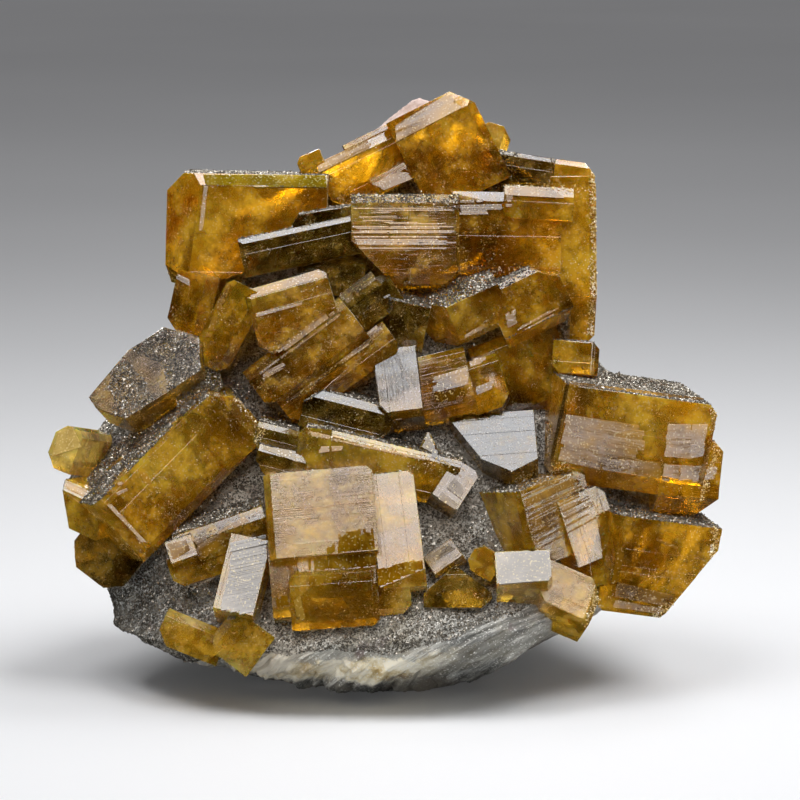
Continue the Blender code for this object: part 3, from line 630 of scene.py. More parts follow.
# A patch of terraces: the pixels x and y of its four corners in the photograph, with strips that run from the
# side first-second to the side fourth-third, how many strips, how ragged their near and far ends are (mm),
# what they mirror, the share of strips left out, and a skin where it isn't their crystal's own. Strips that
# mirror nothing, named away, rise away from the lights
Patch = namedtuple("Patch", "corners strips near far target missing skin", defaults=(0.0, None))
PATCHES = {
    "middle_left_bevel": ((251, 292, 251, 298, 327, 276, 321, 269), 3, 0.3, 1.0, "softbox"),
    "middle_left_line": ((256, 314, 256, 317, 304, 304, 304, 302), 1, 0.1, 0.4, "softbox"),
    "long_upper_bevel": ((250, 370, 251, 381, 341, 315, 334, 304), 5, 0.2, 2.5, "panel"),
    "long_upper_break": ((304, 333, 307, 340, 320, 333, 316, 327), 2, 0.2, 0.8, "softbox"),
    "long_upper_wisps": ((260, 374, 264, 382, 290, 367, 284, 362), 4, 0.8, 1.6, "panel", 0.3),
    "long_lower_bevel": ((280, 397, 287, 410, 388, 336, 384, 326), 7, 0.2, 5.0, "panel"),
    "long_lower_fan": ((338, 358, 345, 366, 389, 338, 381, 322), 6, 1.6, 1.2, "panel", 0.25),
    "small_middle_a": ((341, 298, 345, 305, 354, 298, 351, 292), 3, 0.1, 0.2, "softbox"),
    "small_middle_b": ((353, 290, 355, 294, 376, 279, 373, 275), 2, 0.3, 0.6, "softbox"),
    "small_middle_c": ((377, 294, 382, 300, 391, 295, 387, 289), 4, 0.2, 0.2, "softbox", 0.3),
    "small_middle_d": ((397, 287, 400, 292, 411, 281, 406, 278), 2, 0.1, 0.3, "softbox"),
    "shelf_wisp": ((363, 368, 366, 377, 371, 374, 369, 371), 2, 0.1, 0.3, "softbox"),
    "middle_right_a": ((465, 335, 465, 338, 489, 325, 488, 320), 3, 0.5, 0.8, "panel", 0.2),
    "middle_right_b": ((474, 326, 476, 338, 503, 334, 503, 322), 8, 0.6, 1.4, "panel", 0.2),
    "middle_right_c": ((505, 314, 507, 328, 517, 323, 516, 309), 5, 0.3, 0.5, "softbox", 0.2),
    "middle_right_d": ((516, 325, 520, 338, 562, 316, 556, 303), 12, 1.2, 2.4, "panel", 0.4),
    "middle_right_e": ((434, 341, 438, 347, 453, 342, 446, 337), 4, 0.4, 0.8, "softbox", 0.4),
    "centre_mirror_a": ((431, 378, 434, 393, 468, 384, 470, 366), 9, 1.2, 0.1, "softbox"),
    "centre_mirror_b": ((468, 360, 470, 380, 486, 369, 487, 357), 8, 0.3, 1.0, "softbox", 0.15),
    "centre_mirror_c": ((471, 389, 472, 397, 493, 388, 494, 380), 5, 1.2, 0.4, "softbox", 0.1),
    "centre_low": ((434, 393, 468, 386, 467, 398, 437, 405), 8, 0.4, 1.2, "panel", 0.2),
    "right_wing_edge": ((566, 384, 550, 459, 554, 459, 570, 384), 18, 0.0, 0.1, "softbox"),
    "right_wing_rim": ((569, 382, 569, 385, 712, 402, 712, 400), 1, 0.2, 0.2, "panel"),
    "right_wing_band": ((564, 414, 552, 458, 642, 480, 646, 426), 11, 0.1, 1.6, "panel"),
    "right_wing_band_low": ((600, 458, 597, 472, 660, 484, 662, 462), 4, 1.5, 0.6, "panel"),
    "right_wing_patch": ((667, 424, 664, 456, 690, 458, 692, 424), 6, 0.2, 0.3, "panel"),
    "right_wing_end": ((691, 424, 689, 458, 706, 455, 716, 424), 5, 0.2, 0.6, "panel"),
    "right_wing_foot_band": ((664, 464, 662, 480, 678, 483, 681, 465), 4, 0.1, 0.2, "panel"),
    "right_wing_foot_end": ((681, 465, 678, 484, 716, 478, 718, 467), 5, 0.2, 0.8, "panel"),
    "right_wing_side": ((537, 416, 538, 450, 548, 458, 548, 436), 9, 0.2, 0.4, "panel", 0.1),
    "right_foot_band": ((617, 582, 613, 607, 664, 614, 677, 596), 7, 0.2, 1.4, "panel", 0.12),
    "right_foot_edge": ((618, 546, 626, 546, 617, 584, 611, 584), 3, 0.5, 0.5, "panel"),
    "right_foot_lines": ((656, 538, 656, 540, 677, 549, 678, 547), 1, 0.2, 0.4, "softbox"),
    "left_wing_bevel_a": ((60, 478, 63, 487, 102, 505, 101, 497), 3, 0.3, 0.3, "softbox"),
    "left_wing_bevel_b": ((103, 504, 110, 503, 149, 545, 140, 542), 3, 0.3, 0.6, "softbox"),
    "left_wing_bits": ((112, 484, 116, 496, 128, 490, 124, 481), 4, 0.6, 0.8, "softbox", 0.25),
    "left_wing_chip": ((138, 470, 143, 482, 153, 484, 149, 475), 3, 0.2, 0.8, "panel"),
    "left_end_face": ((59, 431, 52, 456, 83, 446, 73, 427), 4, 0.2, 0.2, "panel"),
    "left_bar_a": ((167, 544, 173, 560, 190, 550, 187, 539), 4, 0.1, 0.2, "softbox"),
    "left_bar_b": ((188, 538, 200, 562, 225, 541, 222, 527), 6, 0.2, 0.4, "panel"),
    "left_bar_c": ((142, 548, 145, 560, 167, 552, 165, 545), 5, 0.3, 0.3, "softbox", 0.45),
    "left_bar_upper": ((206, 538, 208, 542, 249, 521, 246, 516), 2, 0.6, 1.0, "panel", 0.1),
    "left_neck_a": ((222, 283, 213, 308, 222, 310, 232, 284), 8, 0.1, 0.3, "softbox"),
    "left_neck_b": ((213, 316, 203, 346, 209, 348, 221, 318), 9, 0.1, 0.3, "softbox"),
    "neck_rim": ((240, 398, 237, 402, 258, 430, 262, 428), 1, 0.3, 0.4, "softbox"),
    "plate_three_side": ((291, 598, 300, 596, 306, 622, 295, 622), 4, 0.6, 1.2, "panel", 0.2),
    "striped_a": ((455, 461, 455, 473, 461, 478, 466, 470), 4, 0.1, 0.1, "softbox"),
    "striped_b": ((454, 478, 446, 488, 462, 500, 465, 488), 5, 0.1, 0.5, "softbox"),
    "striped_c": ((442, 492, 436, 500, 454, 511, 458, 504), 4, 0.1, 0.1, "softbox"),
    "slab_mirror": ((426, 436, 417, 449, 440, 461, 435, 440), 4, 0.1, 0.2, "softbox"),
    "small_left_strip": ((262, 446, 262, 449, 298, 462, 298, 452), 2, 0.2, 0.8, "softbox"),
    "front_small_patch": ((432, 554, 434, 562, 455, 549, 449, 543), 3, 0.1, 0.2, "softbox"),
    "leaning_rim": ((305, 430, 305, 434, 452, 466, 452, 463), 2, 0.6, 1.6, "panel", 0.15),
    "leaning_cracks": ((322, 440, 316, 456, 342, 452, 344, 442), 5, 0.8, 1.2, "panel", 0.5),
    "crown_bevel": ((395, 126, 397, 144, 466, 109, 450, 93), 7, 0.2, 1.0, "panel"),
    "crown_left_bevel": ((312, 166, 316, 174, 372, 147, 370, 139), 4, 0.3, 1.0, "panel"),
    "crown_blade": ((366, 181, 384, 190, 416, 177, 396, 167), 6, 0.4, 0.8, "panel", 0.15),
    "upper_right_a": ((460, 195, 460, 210, 512, 209, 513, 194), 6, 0.2, 1.6, "softbox", 0.15),
    "upper_right_b": ((508, 187, 508, 197, 572, 201, 560, 188), 5, 0.3, 2.6, "softbox", 0.15),
    "upper_right_c": ((457, 210, 457, 217, 489, 216, 487, 210), 3, 0.2, 1.6, "panel", 0.1),
    "upper_right_edge": ((456, 212, 459, 212, 459, 270, 456, 270), 1, 0.2, 0.8, "panel"),
    "upper_middle_band": ((352, 226, 352, 249, 456, 249, 457, 226), 16, 1.5, 4.0, "panel", 0.3),
    "upper_middle_fibres": ((352, 203, 352, 226, 456, 226, 457, 203), 24, 9.0, 12.0, "panel", 0.75),
    "upper_left_line": ((205, 178, 199, 230, 203, 230, 209, 178), 13, 0.0, 0.1, "softbox"),
    "upper_left_facet": ((172, 271, 172, 276, 190, 286, 190, 280), 2, 0.2, 0.2, "softbox"),
    "upper_left_rim": ((203, 175, 206, 187, 328, 187, 330, 176), 7, 0.1, 0.6, "dark", 0.0, "honey"),
    "plate_one_foot": ((338, 532, 373, 527, 376, 566, 340, 572), 14, 1.6, 0.4, "away"),
    "plate_one_fray": ((308, 560, 340, 540, 342, 580, 310, 588), 12, 3.2, 0.4, "away", 0.1),
    "plate_two_foot": ((377, 570, 422, 558, 424, 592, 379, 594), 6, 0.5, 0.2, "away"),
    "plate_four_foot": ((275, 598, 290, 594, 294, 612, 278, 612), 5, 0.8, 0.2, "away"),
    "blade_top": ((230, 543, 230, 570, 268, 562, 268, 534), 9, 0.1, 0.2, "softbox", 0.0, "milky"),
    "blade_low": ((230, 570, 216, 622, 262, 614, 268, 562), 14, 0.1, 0.2, "softbox", 0.0, "milky"),
    "right_mirror": ((496, 553, 499, 584, 552, 580, 549, 551), 8, 0.05, 0.2, "softbox", 0.0, "milky"),
    "striated_crest": ((516, 484, 520, 494, 572, 474, 564, 464), 6, 0.6, 0.8, "softbox", 0.1),
    "striated_face": ((516, 490, 534, 552, 600, 516, 570, 466), 44, 1.6, 2.4, "panel", 0.45),
    "striated_glints": ((516, 490, 534, 554, 602, 514, 572, 472), 52, 4.0, 5.0, "softbox", 0.55),
}


def on_plane(pixel, place, normal):
    """Where the ray through a pixel meets a plane."""
    ray = pixel_ray(pixel)
    return EYE + ray * ((place - EYE).dot(normal) / ray.dot(normal))


def usual_face(corners):
    """The normal of the crystal face that most of a patch lies on, and its material's name."""
    middle = sum(corners, Vector((0, 0))) / len(corners)
    hits = []
    for share in (0.0, 0.4, 0.8):
        for corner in corners:
            place, normal, index, _ = TREE.ray_cast(EYE, pixel_ray(middle.lerp(corner, share)))
            if place:
                hits.append((normal, FACE_MESHES[index].materials[0].name))
    return max(hits, key=lambda hit: sum(hit[0].dot(other[0]) > ALIKE for other in hits))


def runs_on_faces(start, end, usual):
    """The runs of a line of pixels that each lie on one face: [first share, last share, place, normal]."""
    count = max(2, int((end - start).length / PROBE))
    runs = []
    for index in range(count + 1):
        share = index / count
        place, normal, _, _ = TREE.ray_cast(EYE, pixel_ray(start.lerp(end, share)))
        if place is None or normal.dot(usual) < NEAR_USUAL:
            continue
        for run in reversed(runs):
            height = (place - run[2]).dot(run[3])
            near = share - run[1] < PROBE_GAP / count
            if near and normal.dot(run[3]) > SAME_FACE and abs(height) < SAME_HEIGHT:
                run[1] = share
                if height > 0:
                    run[2] = place
                break
        else:
            runs.append([share, share, place, normal])
    return [run for run in runs if run[1] - run[0] > SHORTEST_RUN / count]


def supported(points):
    """Whether a crystal's surface is near each of the points."""
    return all(TREE.find_nearest(point, SUPPORT)[0] is not None for point in points)


def lean_towards(target, place, normal, along):
    """How far a strip turns about its length so that the viewer sees the target mirrored in it."""
    half = ((EYE - place).normalized() + direction_of(*TARGETS[target])).normalized()
    flat = (half - along * half.dot(along)).normalized()
    lean = math.atan2(along.dot(normal.cross(flat)), normal.dot(flat))
    return min(max(lean, -LEAN_LIMIT), LEAN_LIMIT)


def add_prism(shape, grain, corners, normal, lifts):
    """One low prism over four corners on a face, rooted in it. Its first two corners are one end of it."""
    along = (corners[3] - corners[0]).normalized()
    under = [shape.verts.new(point - normal * ROOT) for point in corners]
    over = [shape.verts.new(point + normal * lift) for point, lift in zip(corners, lifts)]
    faces = [shape.faces.new(over), shape.faces.new(under[::-1])]
    for index in range(4):
        following = (index + 1) % 4
        faces.append(shape.faces.new((under[index], under[following], over[following], over[index])))
    across = normal.cross(along)
    for face in faces:
        for loop in face.loops:
            loop[grain] = Vector((loop.vert.co.dot(across) / MM, loop.vert.co.dot(along) / MM, GRAIN_PLACE))


def add_terrace(shape, grain, points, place, normal, target, level, wobble):
    """A terrace strip, split lengthwise where it leans far enough to stand out too much."""
    if (points[1] - points[0]).cross(points[3] - points[0]).dot(normal) < 0:
        points = [points[1], points[0], points[3], points[2]]
    along = (points[3] - points[0]).normalized()
    width = (points[1] - points[0]).length
    if target == "away":
        lifts = [level + PITCH, level + PITCH, level, level]
        add_prism(shape, grain, points, normal, lifts)
        return
    lean = lean_towards(target, place, normal, along) + wobble
    across = along.cross(normal)
    side = 1 if (points[1] - points[0]).dot(across) > 0 else -1
    slope = math.tan(lean)
    pieces = max(1, math.ceil(abs(slope) * width / STAND))
    rise = slope * width / pieces * side
    for index in range(pieces):
        shares = (index / pieces, (index + 1) / pieces)
        near = [points[0].lerp(points[1], share) for share in shares]
        far = [points[3].lerp(points[2], share) for share in shares]
        first, second = level + max(0, rise), level + max(0, -rise)
        add_prism(shape, grain, [near[0], near[1], far[1], far[0]], normal, [first, second, second, first])


def strip_sides(corners, index, count):
    """A strip's two long sides as lines of pixels."""
    first, second, third, fourth = corners
    return [(first.lerp(second, share), fourth.lerp(third, share))
            for share in (index / count, (index + 1 + OVERLAP) / count)]


def add_strip(shape, grain, sides, patch, usual, rng):
    """One strip of a patch, on every face that it runs over."""
    start, end = (sides[0][0] + sides[1][0]) / 2, (sides[0][1] + sides[1][1]) / 2
    length = (end - start).length * PIXEL
    begin = rng.random() ** 2 * patch.near * MM / length
    stop = 1 - rng.random() ** 1.5 * patch.far * MM / length
    if stop - begin < SHORTEST_STRIP:
        return
    level = rng.uniform(*STRIP_HEIGHT) * MM
    wobble = math.radians(rng.uniform(-WOBBLE, WOBBLE))
    for low, high, place, normal in runs_on_faces(start.lerp(end, begin), start.lerp(end, stop), usual):
        low, high = begin + low * (stop - begin), begin + high * (stop - begin)
        spots = [sides[0][0].lerp(sides[0][1], low), sides[1][0].lerp(sides[1][1], low),
                 sides[1][0].lerp(sides[1][1], high), sides[0][0].lerp(sides[0][1], high)]
        points = [on_plane(spot, place, normal) for spot in spots]
        ends = [points[0].lerp(points[1], 0.5), points[3].lerp(points[2], 0.5)]
        if supported(points) or supported(ends):
            add_terrace(shape, grain, points, place, normal, patch.target, level, wobble)


def build_terraces():
    """All terrace patches, joined by their skins."""
    shapes = {}
    slots = {MATERIALS[slot].name: slot for slot in CRYSTAL_SLOTS}
    for number, row in enumerate(PATCHES.values()):
        patch = Patch(*row)
        corners = [Vector(patch.corners[first:first + 2]) for first in (0, 2, 4, 6)]
        rng = random.Random(number * SEED_STEP + FIRST_SEED)
        usual, material = usual_face(corners)
        skin = patch.skin or ("honey" if patch.target == "away" else slots[material])
        if skin not in shapes:
            shape = bmesh.new()
            shapes[skin] = (shape, shape.loops.layers.float_vector.new("grain"))
        for index in range(patch.strips):
            if rng.random() >= patch.missing:
                add_strip(*shapes[skin], strip_sides(corners, index, patch.strips), patch, usual, rng)
    for skin, (shape, _) in shapes.items():
        bmesh.ops.recalc_face_normals(shape, faces=shape.faces)
        mesh = mesh_of("terraces_" + skin, shape)
        new_piece("terraces_" + skin, mesh, SKINS[skin], SKIN_SLOTS.get(skin, skin))


build_terraces()


# Rock

def rim_border(place):
    """How high the bare rim reaches at a point."""
    rise = max(place.x, 0) * RIM_RISE + min(place.x - RIM_FALL_FROM, 0) * RIM_FALL
    return max(RIM_HEIGHT + min(rise, RIM_MOST_RISE), RIM_LEAST)


def bareness(place):
    """0 on the druse-covered rock between the crystals, 1 on the bare rim, top and far side."""
    wander = ripple(place, BORDER_WAVES)
    low = 1 - (place.z - rim_border(place) - wander * RIM_WANDER) / RIM_FADE
    behind = (place.y - BARE_BEHIND - wander * SIDE_WANDER) / SIDE_FADE
    high = (place.z - BARE_TOP) / MM
    return min(max(low, behind, high, 0), 1)


def foliation(place):
    """Height of the rock's torn layers at a point, in metres."""
    through = place.dot(LAYER_NORMAL) + ripple(place, LAYER_WAVES)
    height = 0.0
    for pitch, rise in LAYERS:
        sheet = math.floor(through / pitch)
        share = through / pitch - sheet
        wander = noise.noise(Vector((place.x, place.y, sheet * SHEET_WAVE)) / SHEET_WAVE)
        height += rise * (min(share / LAYER_CREST, (1 - share) / (1 - LAYER_CREST)) - 0.5 + wander)
    return height + ripple(place, GRIT_WAVES)


def on_bare_rock(place):
    """Whether a point is on rock without druse."""
    return bareness(place) > NEARLY_COVERED


def on_front_rim(place):
    """Whether a point is on the bare rim that faces the viewer."""
    return place.z < rim_border(place) + RIM_OVER and place.y < 0


def divide(shape, wanted=None):
    """Halves the edges whose middle is wanted, or all edges."""
    edges = [edge for edge in shape.edges
             if wanted is None or wanted((edge.verts[0].co + edge.verts[1].co) / 2)]
    bmesh.ops.subdivide_edges(shape, edges=edges, cuts=1, use_grid_fill=True)


def rock_shape():
    """The rock's skin, finely divided and torn along its layers."""
    shape = node_shape("rock_matrix")
    divide(shape)
    divide(shape)
    divide(shape, on_bare_rock)
    divide(shape, on_front_rim)
    bmesh.ops.triangulate(shape, faces=shape.faces)
    shape.normal_update()
    moves = []
    for vertex in shape.verts:
        bare = bareness(vertex.co)
        on_foot = vertex.co.z < FOOT
        bed = ripple(vertex.co, BED_WAVES)
        rise = 0 if on_foot else bed * (1 - bare) + foliation(vertex.co) * bare
        moves.append(vertex.normal * rise)
    for vertex, move in zip(shape.verts, moves):
        vertex.co += move
        vertex.co.z = max(vertex.co.z, 0)
    share = shape.verts.layers.float.new("rim")
    for vertex in shape.verts:
        vertex[share] = vertex.co.z / rim_border(vertex.co)
    for face in shape.faces:
        face.smooth = True
    return shape


rock = new_piece("rock_skin", mesh_of("rock_skin", rock_shape()), MATERIALS["matrix_rock"], "matrix_rock",
                 "rock_matrix")


# Druse

DRUSE_SEED = 7
GRAIN = 0.165 * MM  # middle radius of a grain
GRAINS_PER_MM2 = 17.5
GRAINS_PER_PIECE = 45000
GRAIN_SPREAD = 0.28  # how much the grains' sizes vary
GRAIN_STRETCH = (0.8, 1.2)  # and their shapes
GRAIN_RISE = 0.3  # how far a grain's middle is above the surface, as a share of its size
CRUST_WAVES = ((5 * MM, 1.0),)  # the bare patches in a crust
WAVES_SPAN = 1.2  # between the least and the most that those waves reach
FACING = 0.8  # faces are covered whose normal is this near to the direction
JUST_ABOVE, FAR_ABOVE = 0.02 * MM, 40 * MM  # where a grain's way out is looked along
TUCKED = 0.35 * MM  # grains nearer than this to a crystal over them are left out
NO_AREA = 1e-15
LEVEL_NORMAL = Vector((0.31, 0.47, 0.83))  # crystals have no two triangles at one level along this

# Crystals whose faces that look this way carry a crust of druse, and how much of them it covers
CRUSTED = {
    "right_wing_crystals": ((-0.1, 0.1, 1), 0.95),
    "right_foot_crystal": ((-0.1, 0.1, 1), 0.95),
    "left_drusy_slab": ((0, -1, 0.6), 0.66),
    "left_bar_crystals": ((-0.3, 0.2, 1), 0.95),
    "upper_shelf_crystals": ((-0.2, 0, 1), 0.8),
    "middle_right_crystals": ((-0.4, -0.2, 1), 0.9),
    "middle_dark_crystal": ((0, -0.2, 1), 0.95),
    "upper_middle_crystal": ((0, 0, 1), 0.8),
    "upper_left_crystal": ((0, 0, 1), 0.8),
    "dark_slab_crystal": ((0, 0, 1), 0.8),
    "left_wing_crystals": ((-0.7, 0, 0.7), 0.9),
    "striated_crystals": ((0, 0.2, 1), 0.7),
    "leaning_bar_crystal": ((0, 0.3, 1), 0.7),
    "front_plate_crystals": ((0, 0.6, 1), 0.5),
    "small_left_crystals": ((-0.1, 0, 1), 0.8),
    "right_shoulder_crystal": ((0, 0, 1), 0.6),
    "small_upper_crystal": ((0, 0, 1), 0.9),
    "upper_right_dark_crystal": ((0, 0, 1), 0.7),
    "front_small_crystals": ((0, 0, 1), 0.5),
}


def corners_of(piece):
    """The corners of a piece's triangles as an array."""
    mesh = piece.data
    mesh.calc_loop_triangles()
    points = np.array([vertex.co for vertex in mesh.vertices])
    return points[np.array([triangle.vertices for triangle in mesh.loop_triangles])]


def in_steady_order(corners):
    """Triangles in the same order each run, each from its lowest corner on."""
    levels = corners @ np.array(LEVEL_NORMAL)
    turned = (levels.argmin(1)[:, None] + np.arange(3)) % 3
    return np.take_along_axis(corners, turned[:, :, None], 1)[levels.sum(1).argsort()]


def measured(corners):
    """The corners, normals and areas of triangles."""
    cross = np.cross(corners[:, 1] - corners[:, 0], corners[:, 2] - corners[:, 0])
    double_area = np.linalg.norm(cross, axis=1)
    return corners, cross / np.maximum(double_area, NO_AREA)[:, None], double_area / 2


def scattered(corners, normals, areas, per_mm2, draw):
    """Points spread evenly over triangles, with their normals."""
    count = int(areas.sum() / MM ** 2 * per_mm2)
    if count == 0:
        return np.zeros((0, 3)), np.zeros((0, 3))
    chosen = draw.choice(len(areas), size=count, p=areas / areas.sum())
    first, second = draw.random_sample((2, count))
    over = first + second > 1
    first[over], second[over] = 1 - first[over], 1 - second[over]
    at = corners[chosen]
    points = at[:, 0] + first[:, None] * (at[:, 1] - at[:, 0]) + second[:, None] * (at[:, 2] - at[:, 0])
    return points, normals[chosen]


def uncovered(points, normals):
    """Which points lie outside all crystals and aren't tucked under one."""
    free = []
    for point, normal in zip(points, normals):
        start, direction = Vector(point), Vector(normal)
        hit, hit_normal, _, distance = TREE.ray_cast(start + direction * JUST_ABOVE, direction, FAR_ABOVE)
        free.append(hit is None or (hit_normal.dot(direction) < 0 and distance > TUCKED))
    return np.array(free, bool)


def grain_pieces(name, points, normals, draw, size, material, slot):
    """Meshes of small four-sided grains, each turned at random, set in the surface they grow on."""
    corners = np.array([(1, 1, 1), (1, -1, -1), (-1, 1, -1), (-1, -1, 1)], float) / math.sqrt(3)
    faces = np.array([(0, 1, 2), (0, 3, 1), (0, 2, 3), (1, 3, 2)])
    for number, first in enumerate(range(0, len(points), GRAINS_PER_PIECE)):
        place, facing = points[first:first + GRAINS_PER_PIECE], normals[first:first + GRAINS_PER_PIECE]
        count = len(place)
        turns = draw.normal(size=(count, 4))
        turns /= np.linalg.norm(turns, axis=1)[:, None]
        w, x, y, z = turns.T
        matrices = np.stack([
            np.stack([1 - 2 * (y * y + z * z), 2 * (x * y - w * z), 2 * (x * z + w * y)], 1),
            np.stack([2 * (x * y + w * z), 1 - 2 * (x * x + z * z), 2 * (y * z - w * x)], 1),
            np.stack([2 * (x * z - w * y), 2 * (y * z + w * x), 1 - 2 * (x * x + y * y)], 1)], 1)
        sizes = size * np.exp(draw.normal(0, GRAIN_SPREAD, count))
        shapes = corners[None] * draw.uniform(*GRAIN_STRETCH, (count, 1, 3))
        placed = np.einsum("nij,nkj->nki", matrices, shapes) * sizes[:, None, None]
        placed += (place + facing * sizes[:, None] * GRAIN_RISE)[:, None]
        mesh = bpy.data.meshes.new(name)
        every_face = (faces[None] + np.arange(count)[:, None, None] * 4).reshape(-1, 3)
        mesh.from_pydata(placed.reshape(-1, 3).tolist(), [], every_face.tolist())
        new_piece(f"{name}_{number + 1}", mesh, material, slot)


def druse_material():
    """Tiny dark metallic crystals, with painted shade in the deep gaps between the crystals."""
    made, tree, output, place = node_material("druse")
    tone = noise_texture(tree, place, 420, detail=3)
    colour = ramp(tree, tone, [(0.35, (0.15, 0.137, 0.115)), (0.55, (0.30, 0.277, 0.235)),
                               (0.75, (0.50, 0.475, 0.42))])
    # Painted shade: druse in the deep gaps between the crystals is darkened
    colour = mixed(tree, painted_shading_nodes(tree, place, PAINTED_GAP_SHADE_SPOTS), colour, PAINTED_SHADE_COLOUR)
    add_surface(tree, output, {"Base Color": colour, "Metallic": 0.7,
                               "Roughness": maths(tree, "MULTIPLY_ADD", tone, 0.25, 0.12)})
    return made


def make_druse():
    """Druse on the rock between the crystals, and on the crusted crystals."""
    draw = np.random.RandomState(DRUSE_SEED)
    material = druse_material()
    corners, normals, areas = measured(corners_of(rock))
    bare = np.array([bareness(Vector(middle)) for middle in corners.mean(1)])
    points, facing = scattered(corners, normals, areas * (bare < 0.5), GRAINS_PER_MM2, draw)
    free = uncovered(points, facing)
    grain_pieces("druse_on_rock", points[free], facing[free], draw, GRAIN, material, "matrix_rock")
    crust = []
    for node, (direction, cover) in CRUSTED.items():
        corners, normals, areas = measured(in_steady_order(corners_of(looks[node])))
        areas = areas * (normals @ np.array(Vector(direction).normalized()) > FACING)
        points, facing = scattered(corners, normals, areas, GRAINS_PER_MM2, draw)
        patch = np.array([ripple(Vector(point), CRUST_WAVES) for point in points])
        kept = patch < (cover - 0.5) * WAVES_SPAN
        points, facing = points[kept], facing[kept]
        free = uncovered(points, facing)
        crust.append((points[free], facing[free]))
    points, facing = (np.concatenate(arrays) for arrays in zip(*crust))
    grain_pieces("druse_on_crystals", points, facing, draw, GRAIN, material, "matrix_rock")


make_druse()


# Dust and broken edges

DUST_SEED = 11
DUST = 0.068 * MM  # middle radius of a speck of dust
SUGAR = 0.15 * MM  # and of a grain along a broken edge
DUST_PER_MM2 = 4.5
DUST_WAVES = ((4 * MM, 1.0), (1.3 * MM, 0.6))
THINNING = (0.0, 0.7)  # dust stays where its waves are over a number drawn from this range

# Broken, sugary edges: the line's pixels, its width in pixels, and how many grains a pixel of it has
SUGARY = {
    "upper_right_edge": ([(593, 170), (595, 250), (591, 335)], 5, 4.0),
    "upper_right_top": ([(500, 186), (585, 190)], 4, 1.2),
    "right_wing_end": ([(713, 402), (717, 455), (700, 500)], 4, 3.0),
    "right_foot_end": ([(717, 520), (713, 560), (690, 596), (655, 615)], 5, 4.5),
    "right_front": ([(590, 588), (598, 606), (586, 622)], 6, 3.0),
    "left_wing_end": ([(236, 396), (262, 430), (255, 440)], 5, 3.0),
    "upper_left_top": ([(208, 175), (330, 178)], 4, 1.2),
    "upper_middle_top": ([(352, 198), (456, 198)], 5, 2.0),
    "striated_crest": ([(518, 484), (566, 466)], 9, 4.0),
    "striated_right": ([(566, 470), (600, 512)], 8, 2.4),
    "crown_left": ([(314, 172), (372, 142)], 4, 1.2),
    "leaning_top": ([(305, 432), (452, 465)], 4, 1.8),
    "middle_right_top": ([(430, 292), (520, 268)], 7, 1.4),
}


def dust_material():
    """Tiny pale crystals that catch the light."""
    made, tree, output, place = node_material("dust")
    tone = noise_texture(tree, place, 700, detail=2)
    colour = ramp(tree, tone, [(0.35, (0.50, 0.33, 0.08)), (0.5, (0.80, 0.63, 0.28)),
                               (0.65, (0.95, 0.88, 0.70))])
    rough = share_ramp(tree, tone, (0.3, 0.1), (0.7, 0.3))
    add_surface(tree, output, {"Base Color": colour, "Roughness": rough, "IOR": BARITE_IOR,
                               "Coat Weight": 1.0, "Coat Roughness": 0.08})
    return made


def make_dust():
    """Dust in patches on all crystals, and sugary grains along the broken edges."""
    draw = np.random.RandomState(DUST_SEED)
    material = dust_material()
    dust = []
    for look in looks.values():
        triangles = measured(in_steady_order(corners_of(look)))
        spots, directions = scattered(*triangles, DUST_PER_MM2, draw)
        crowd = np.array([ripple(Vector(spot), DUST_WAVES) for spot in spots])
        kept = crowd > draw.uniform(*THINNING, len(spots))
        dust.append((spots[kept], directions[kept]))
    points, facing = (np.concatenate(arrays) for arrays in zip(*dust))
    free = uncovered(points, facing)
    grain_pieces("crystal_dust", points[free], facing[free], draw, DUST, material, "barite_pale")
    points, facing = [], []
    for line, width, per_pixel in SUGARY.values():
        for start, end in zip(line, line[1:]):
            start, end = Vector(start), Vector(end)
            for _ in range(int((end - start).length * per_pixel)):
                spot = start.lerp(end, draw.random_sample())
                spot += Vector((draw.normal() * width / 2, draw.normal() * width / 2))
                place, normal, _, _ = TREE.ray_cast(EYE, pixel_ray(spot))
                if place:
                    points.append(place)
                    facing.append(normal)
    grain_pieces("sugary_edges", np.array(points), np.array(facing), draw, SUGAR, material, "barite_pale")


make_dust()


# Floor, lights and camera

FLOOR_REACH = 6.0
SKY_STRENGTH = 0.8
MOST_BOUNCES, BOUNCES_THROUGH = 8, 6
COOL, PINKISH, WARM = (0.97, 0.98, 1.0), (1.0, 0.90, 0.84), (1.0, 0.95, 0.88)
NEARLY_WHITE, FLOOR_WHITE = (1.0, 0.98, 0.95), (0.98, 0.99, 1.0)

# Each softbox: its azimuth and elevation, its distance from the cluster's middle, its sides, its power in
# watts, its colour, what it lights, and what alone shades that
LIGHTS = {
    "overhead_softbox": (0, 79, 0.55, (0.5, 0.62), 4.0, COOL, "cluster", None),
    "front_panel": (6, 42, 0.8, (0.95, 0.22), 2.9, PINKISH, "cluster", None),
    "back_left_panel": (155, 35, 0.5, (0.16, 0.16), 1.2, NEARLY_WHITE, "cluster", None),
    "back_right_panel": (-150, 35, 0.5, (0.16, 0.16), 1.2, NEARLY_WHITE, "cluster", None),
    "right_panel": (62, 12, 0.6, (0.2, 0.2), 0.5, WARM, "cluster", None),
    "floor_back_light": (125, 64, 0.40, (0.22, 0.22), 0.50, FLOOR_WHITE, "ground", None),
    "low_light": (-40, 3, 0.6, (0.4, 0.2), 0.7, NEARLY_WHITE, "matrix", None),
    "floor_fill": (-95, 66, 0.40, (0.2, 0.2), 0.80, FLOOR_WHITE, "ground", "stone"),
    "floor_far_fill": (180, 45, 1.1, (0.4, 0.4), 0.70, FLOOR_WHITE, "ground", "ground"),
    "floor_side_fill": (85, 66, 0.36, (0.2, 0.2), 0.90, FLOOR_WHITE, "ground", "stone"),
}


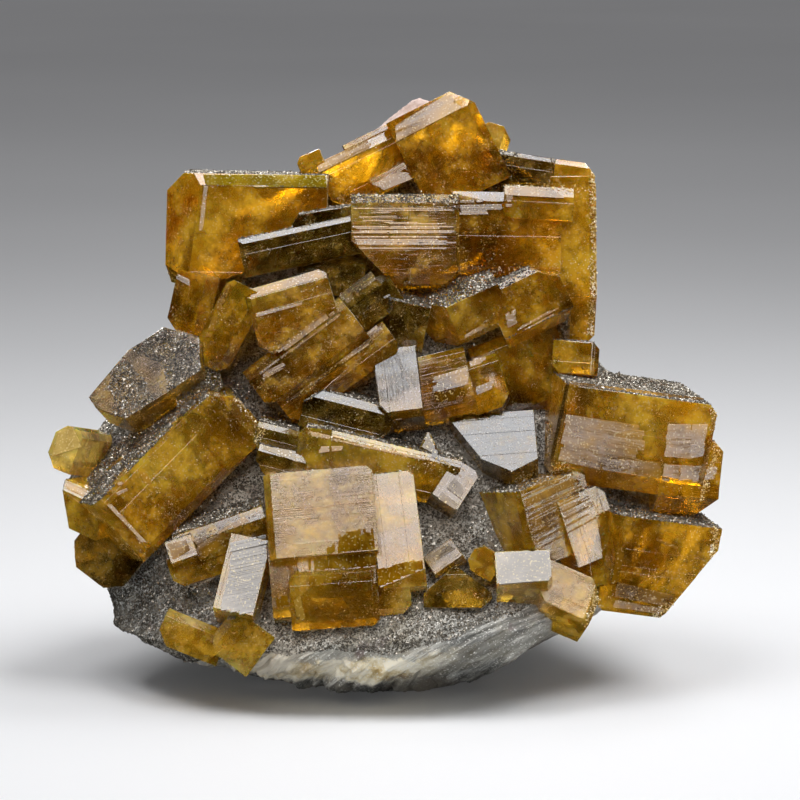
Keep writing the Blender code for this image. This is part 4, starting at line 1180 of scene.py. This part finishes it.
def add_floor():
    """A wide pale floor."""
    shape = bmesh.new()
    corners = [(-1, -1), (1, -1), (1, 1), (-1, 1)]
    shape.faces.new([shape.verts.new((x * FLOOR_REACH, y * FLOOR_REACH, 0)) for x, y in corners])
    made, tree, output, place = node_material("pale_floor")
    tone = noise_texture(tree, place, 3, detail=2)
    colour = ramp(tree, tone, [(0.3, (0.78, 0.78, 0.79)), (0.7, (0.82, 0.82, 0.83))])
    add_surface(tree, output, {"Base Color": colour, "Roughness": 0.55})
    floor = place_object("floor", mesh_of("floor", shape))
    floor.data.materials.append(made)
    floor.visible_glossy = False
    floor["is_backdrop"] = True
    return floor


def add_sky():
    """A weak light from above all round, dark at the horizon."""
    world = bpy.data.worlds.new("studio")
    world.use_nodes = True
    tree = world.node_tree
    direction = add_node(tree, "TexCoord", {}).outputs["Generated"]
    up = add_node(tree, "SeparateXYZ", {0: direction}).outputs["Z"]
    sky = ramp(tree, up, [(0.45, (0.0, 0.0, 0.0)), (0.75, (0.42, 0.42, 0.43)), (1.0, (0.6, 0.6, 0.61))])
    put(tree, tree.nodes["Background"].inputs["Color"], sky)
    put(tree, tree.nodes["Background"].inputs["Strength"], SKY_STRENGTH)
    bpy.context.scene.world = world


def collection_of(name, members):
    """A collection for light linking."""
    made = bpy.data.collections.new(name)
    for member in members:
        made.objects.link(member)
    return made


def area_light(name, azimuth, elevation, distance, size, power, colour):
    """A rectangular softbox that looks at the cluster's middle."""
    data = bpy.data.lights.new(name, "AREA")
    data.shape = "RECTANGLE"
    data.size, data.size_y = size
    data.energy = power
    data.color = colour
    light = place_object(name, data)
    outward = direction_of(azimuth, elevation)
    light.location = Vector((0, 0, VIEW_HEIGHT)) + outward * distance
    light.rotation_euler = outward.to_track_quat("Z", "Y").to_euler()
    return light


def add_lights(floor):
    """The softboxes, each linked to what it lights."""
    groups = {
        "cluster": collection_of("cluster_pieces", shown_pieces()),
        "matrix": collection_of("matrix_pieces", [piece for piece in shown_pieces()
                                                  if piece.name.startswith(("rock_skin", "druse_on_rock"))]),
        "ground": collection_of("ground", [floor]),
        "stone": collection_of("stone", [rock]),
    }
    for name, (*place, lit, shading) in LIGHTS.items():
        linking = area_light(name, *place).light_linking
        linking.receiver_collection = groups[lit]
        if shading:
            linking.blocker_collection = groups[shading]


def add_camera():
    """The camera, at the photograph's viewing angle."""
    data = bpy.data.cameras.new("camera")
    data.lens, data.sensor_width = LENS, SENSOR
    data.clip_start = CLIP_START
    camera = place_object("camera", data)
    camera.location = EYE
    camera.rotation_euler = (math.pi / 2 - VIEW_ELEVATION, 0, 0)
    scene = bpy.context.scene
    scene.camera = camera
    scene.cycles.use_denoising = True
    scene.cycles.max_bounces = MOST_BOUNCES
    scene.cycles.transmission_bounces = BOUNCES_THROUGH
    scene.view_settings.view_transform = "Standard"


add_sky()
add_lights(add_floor())
add_camera()
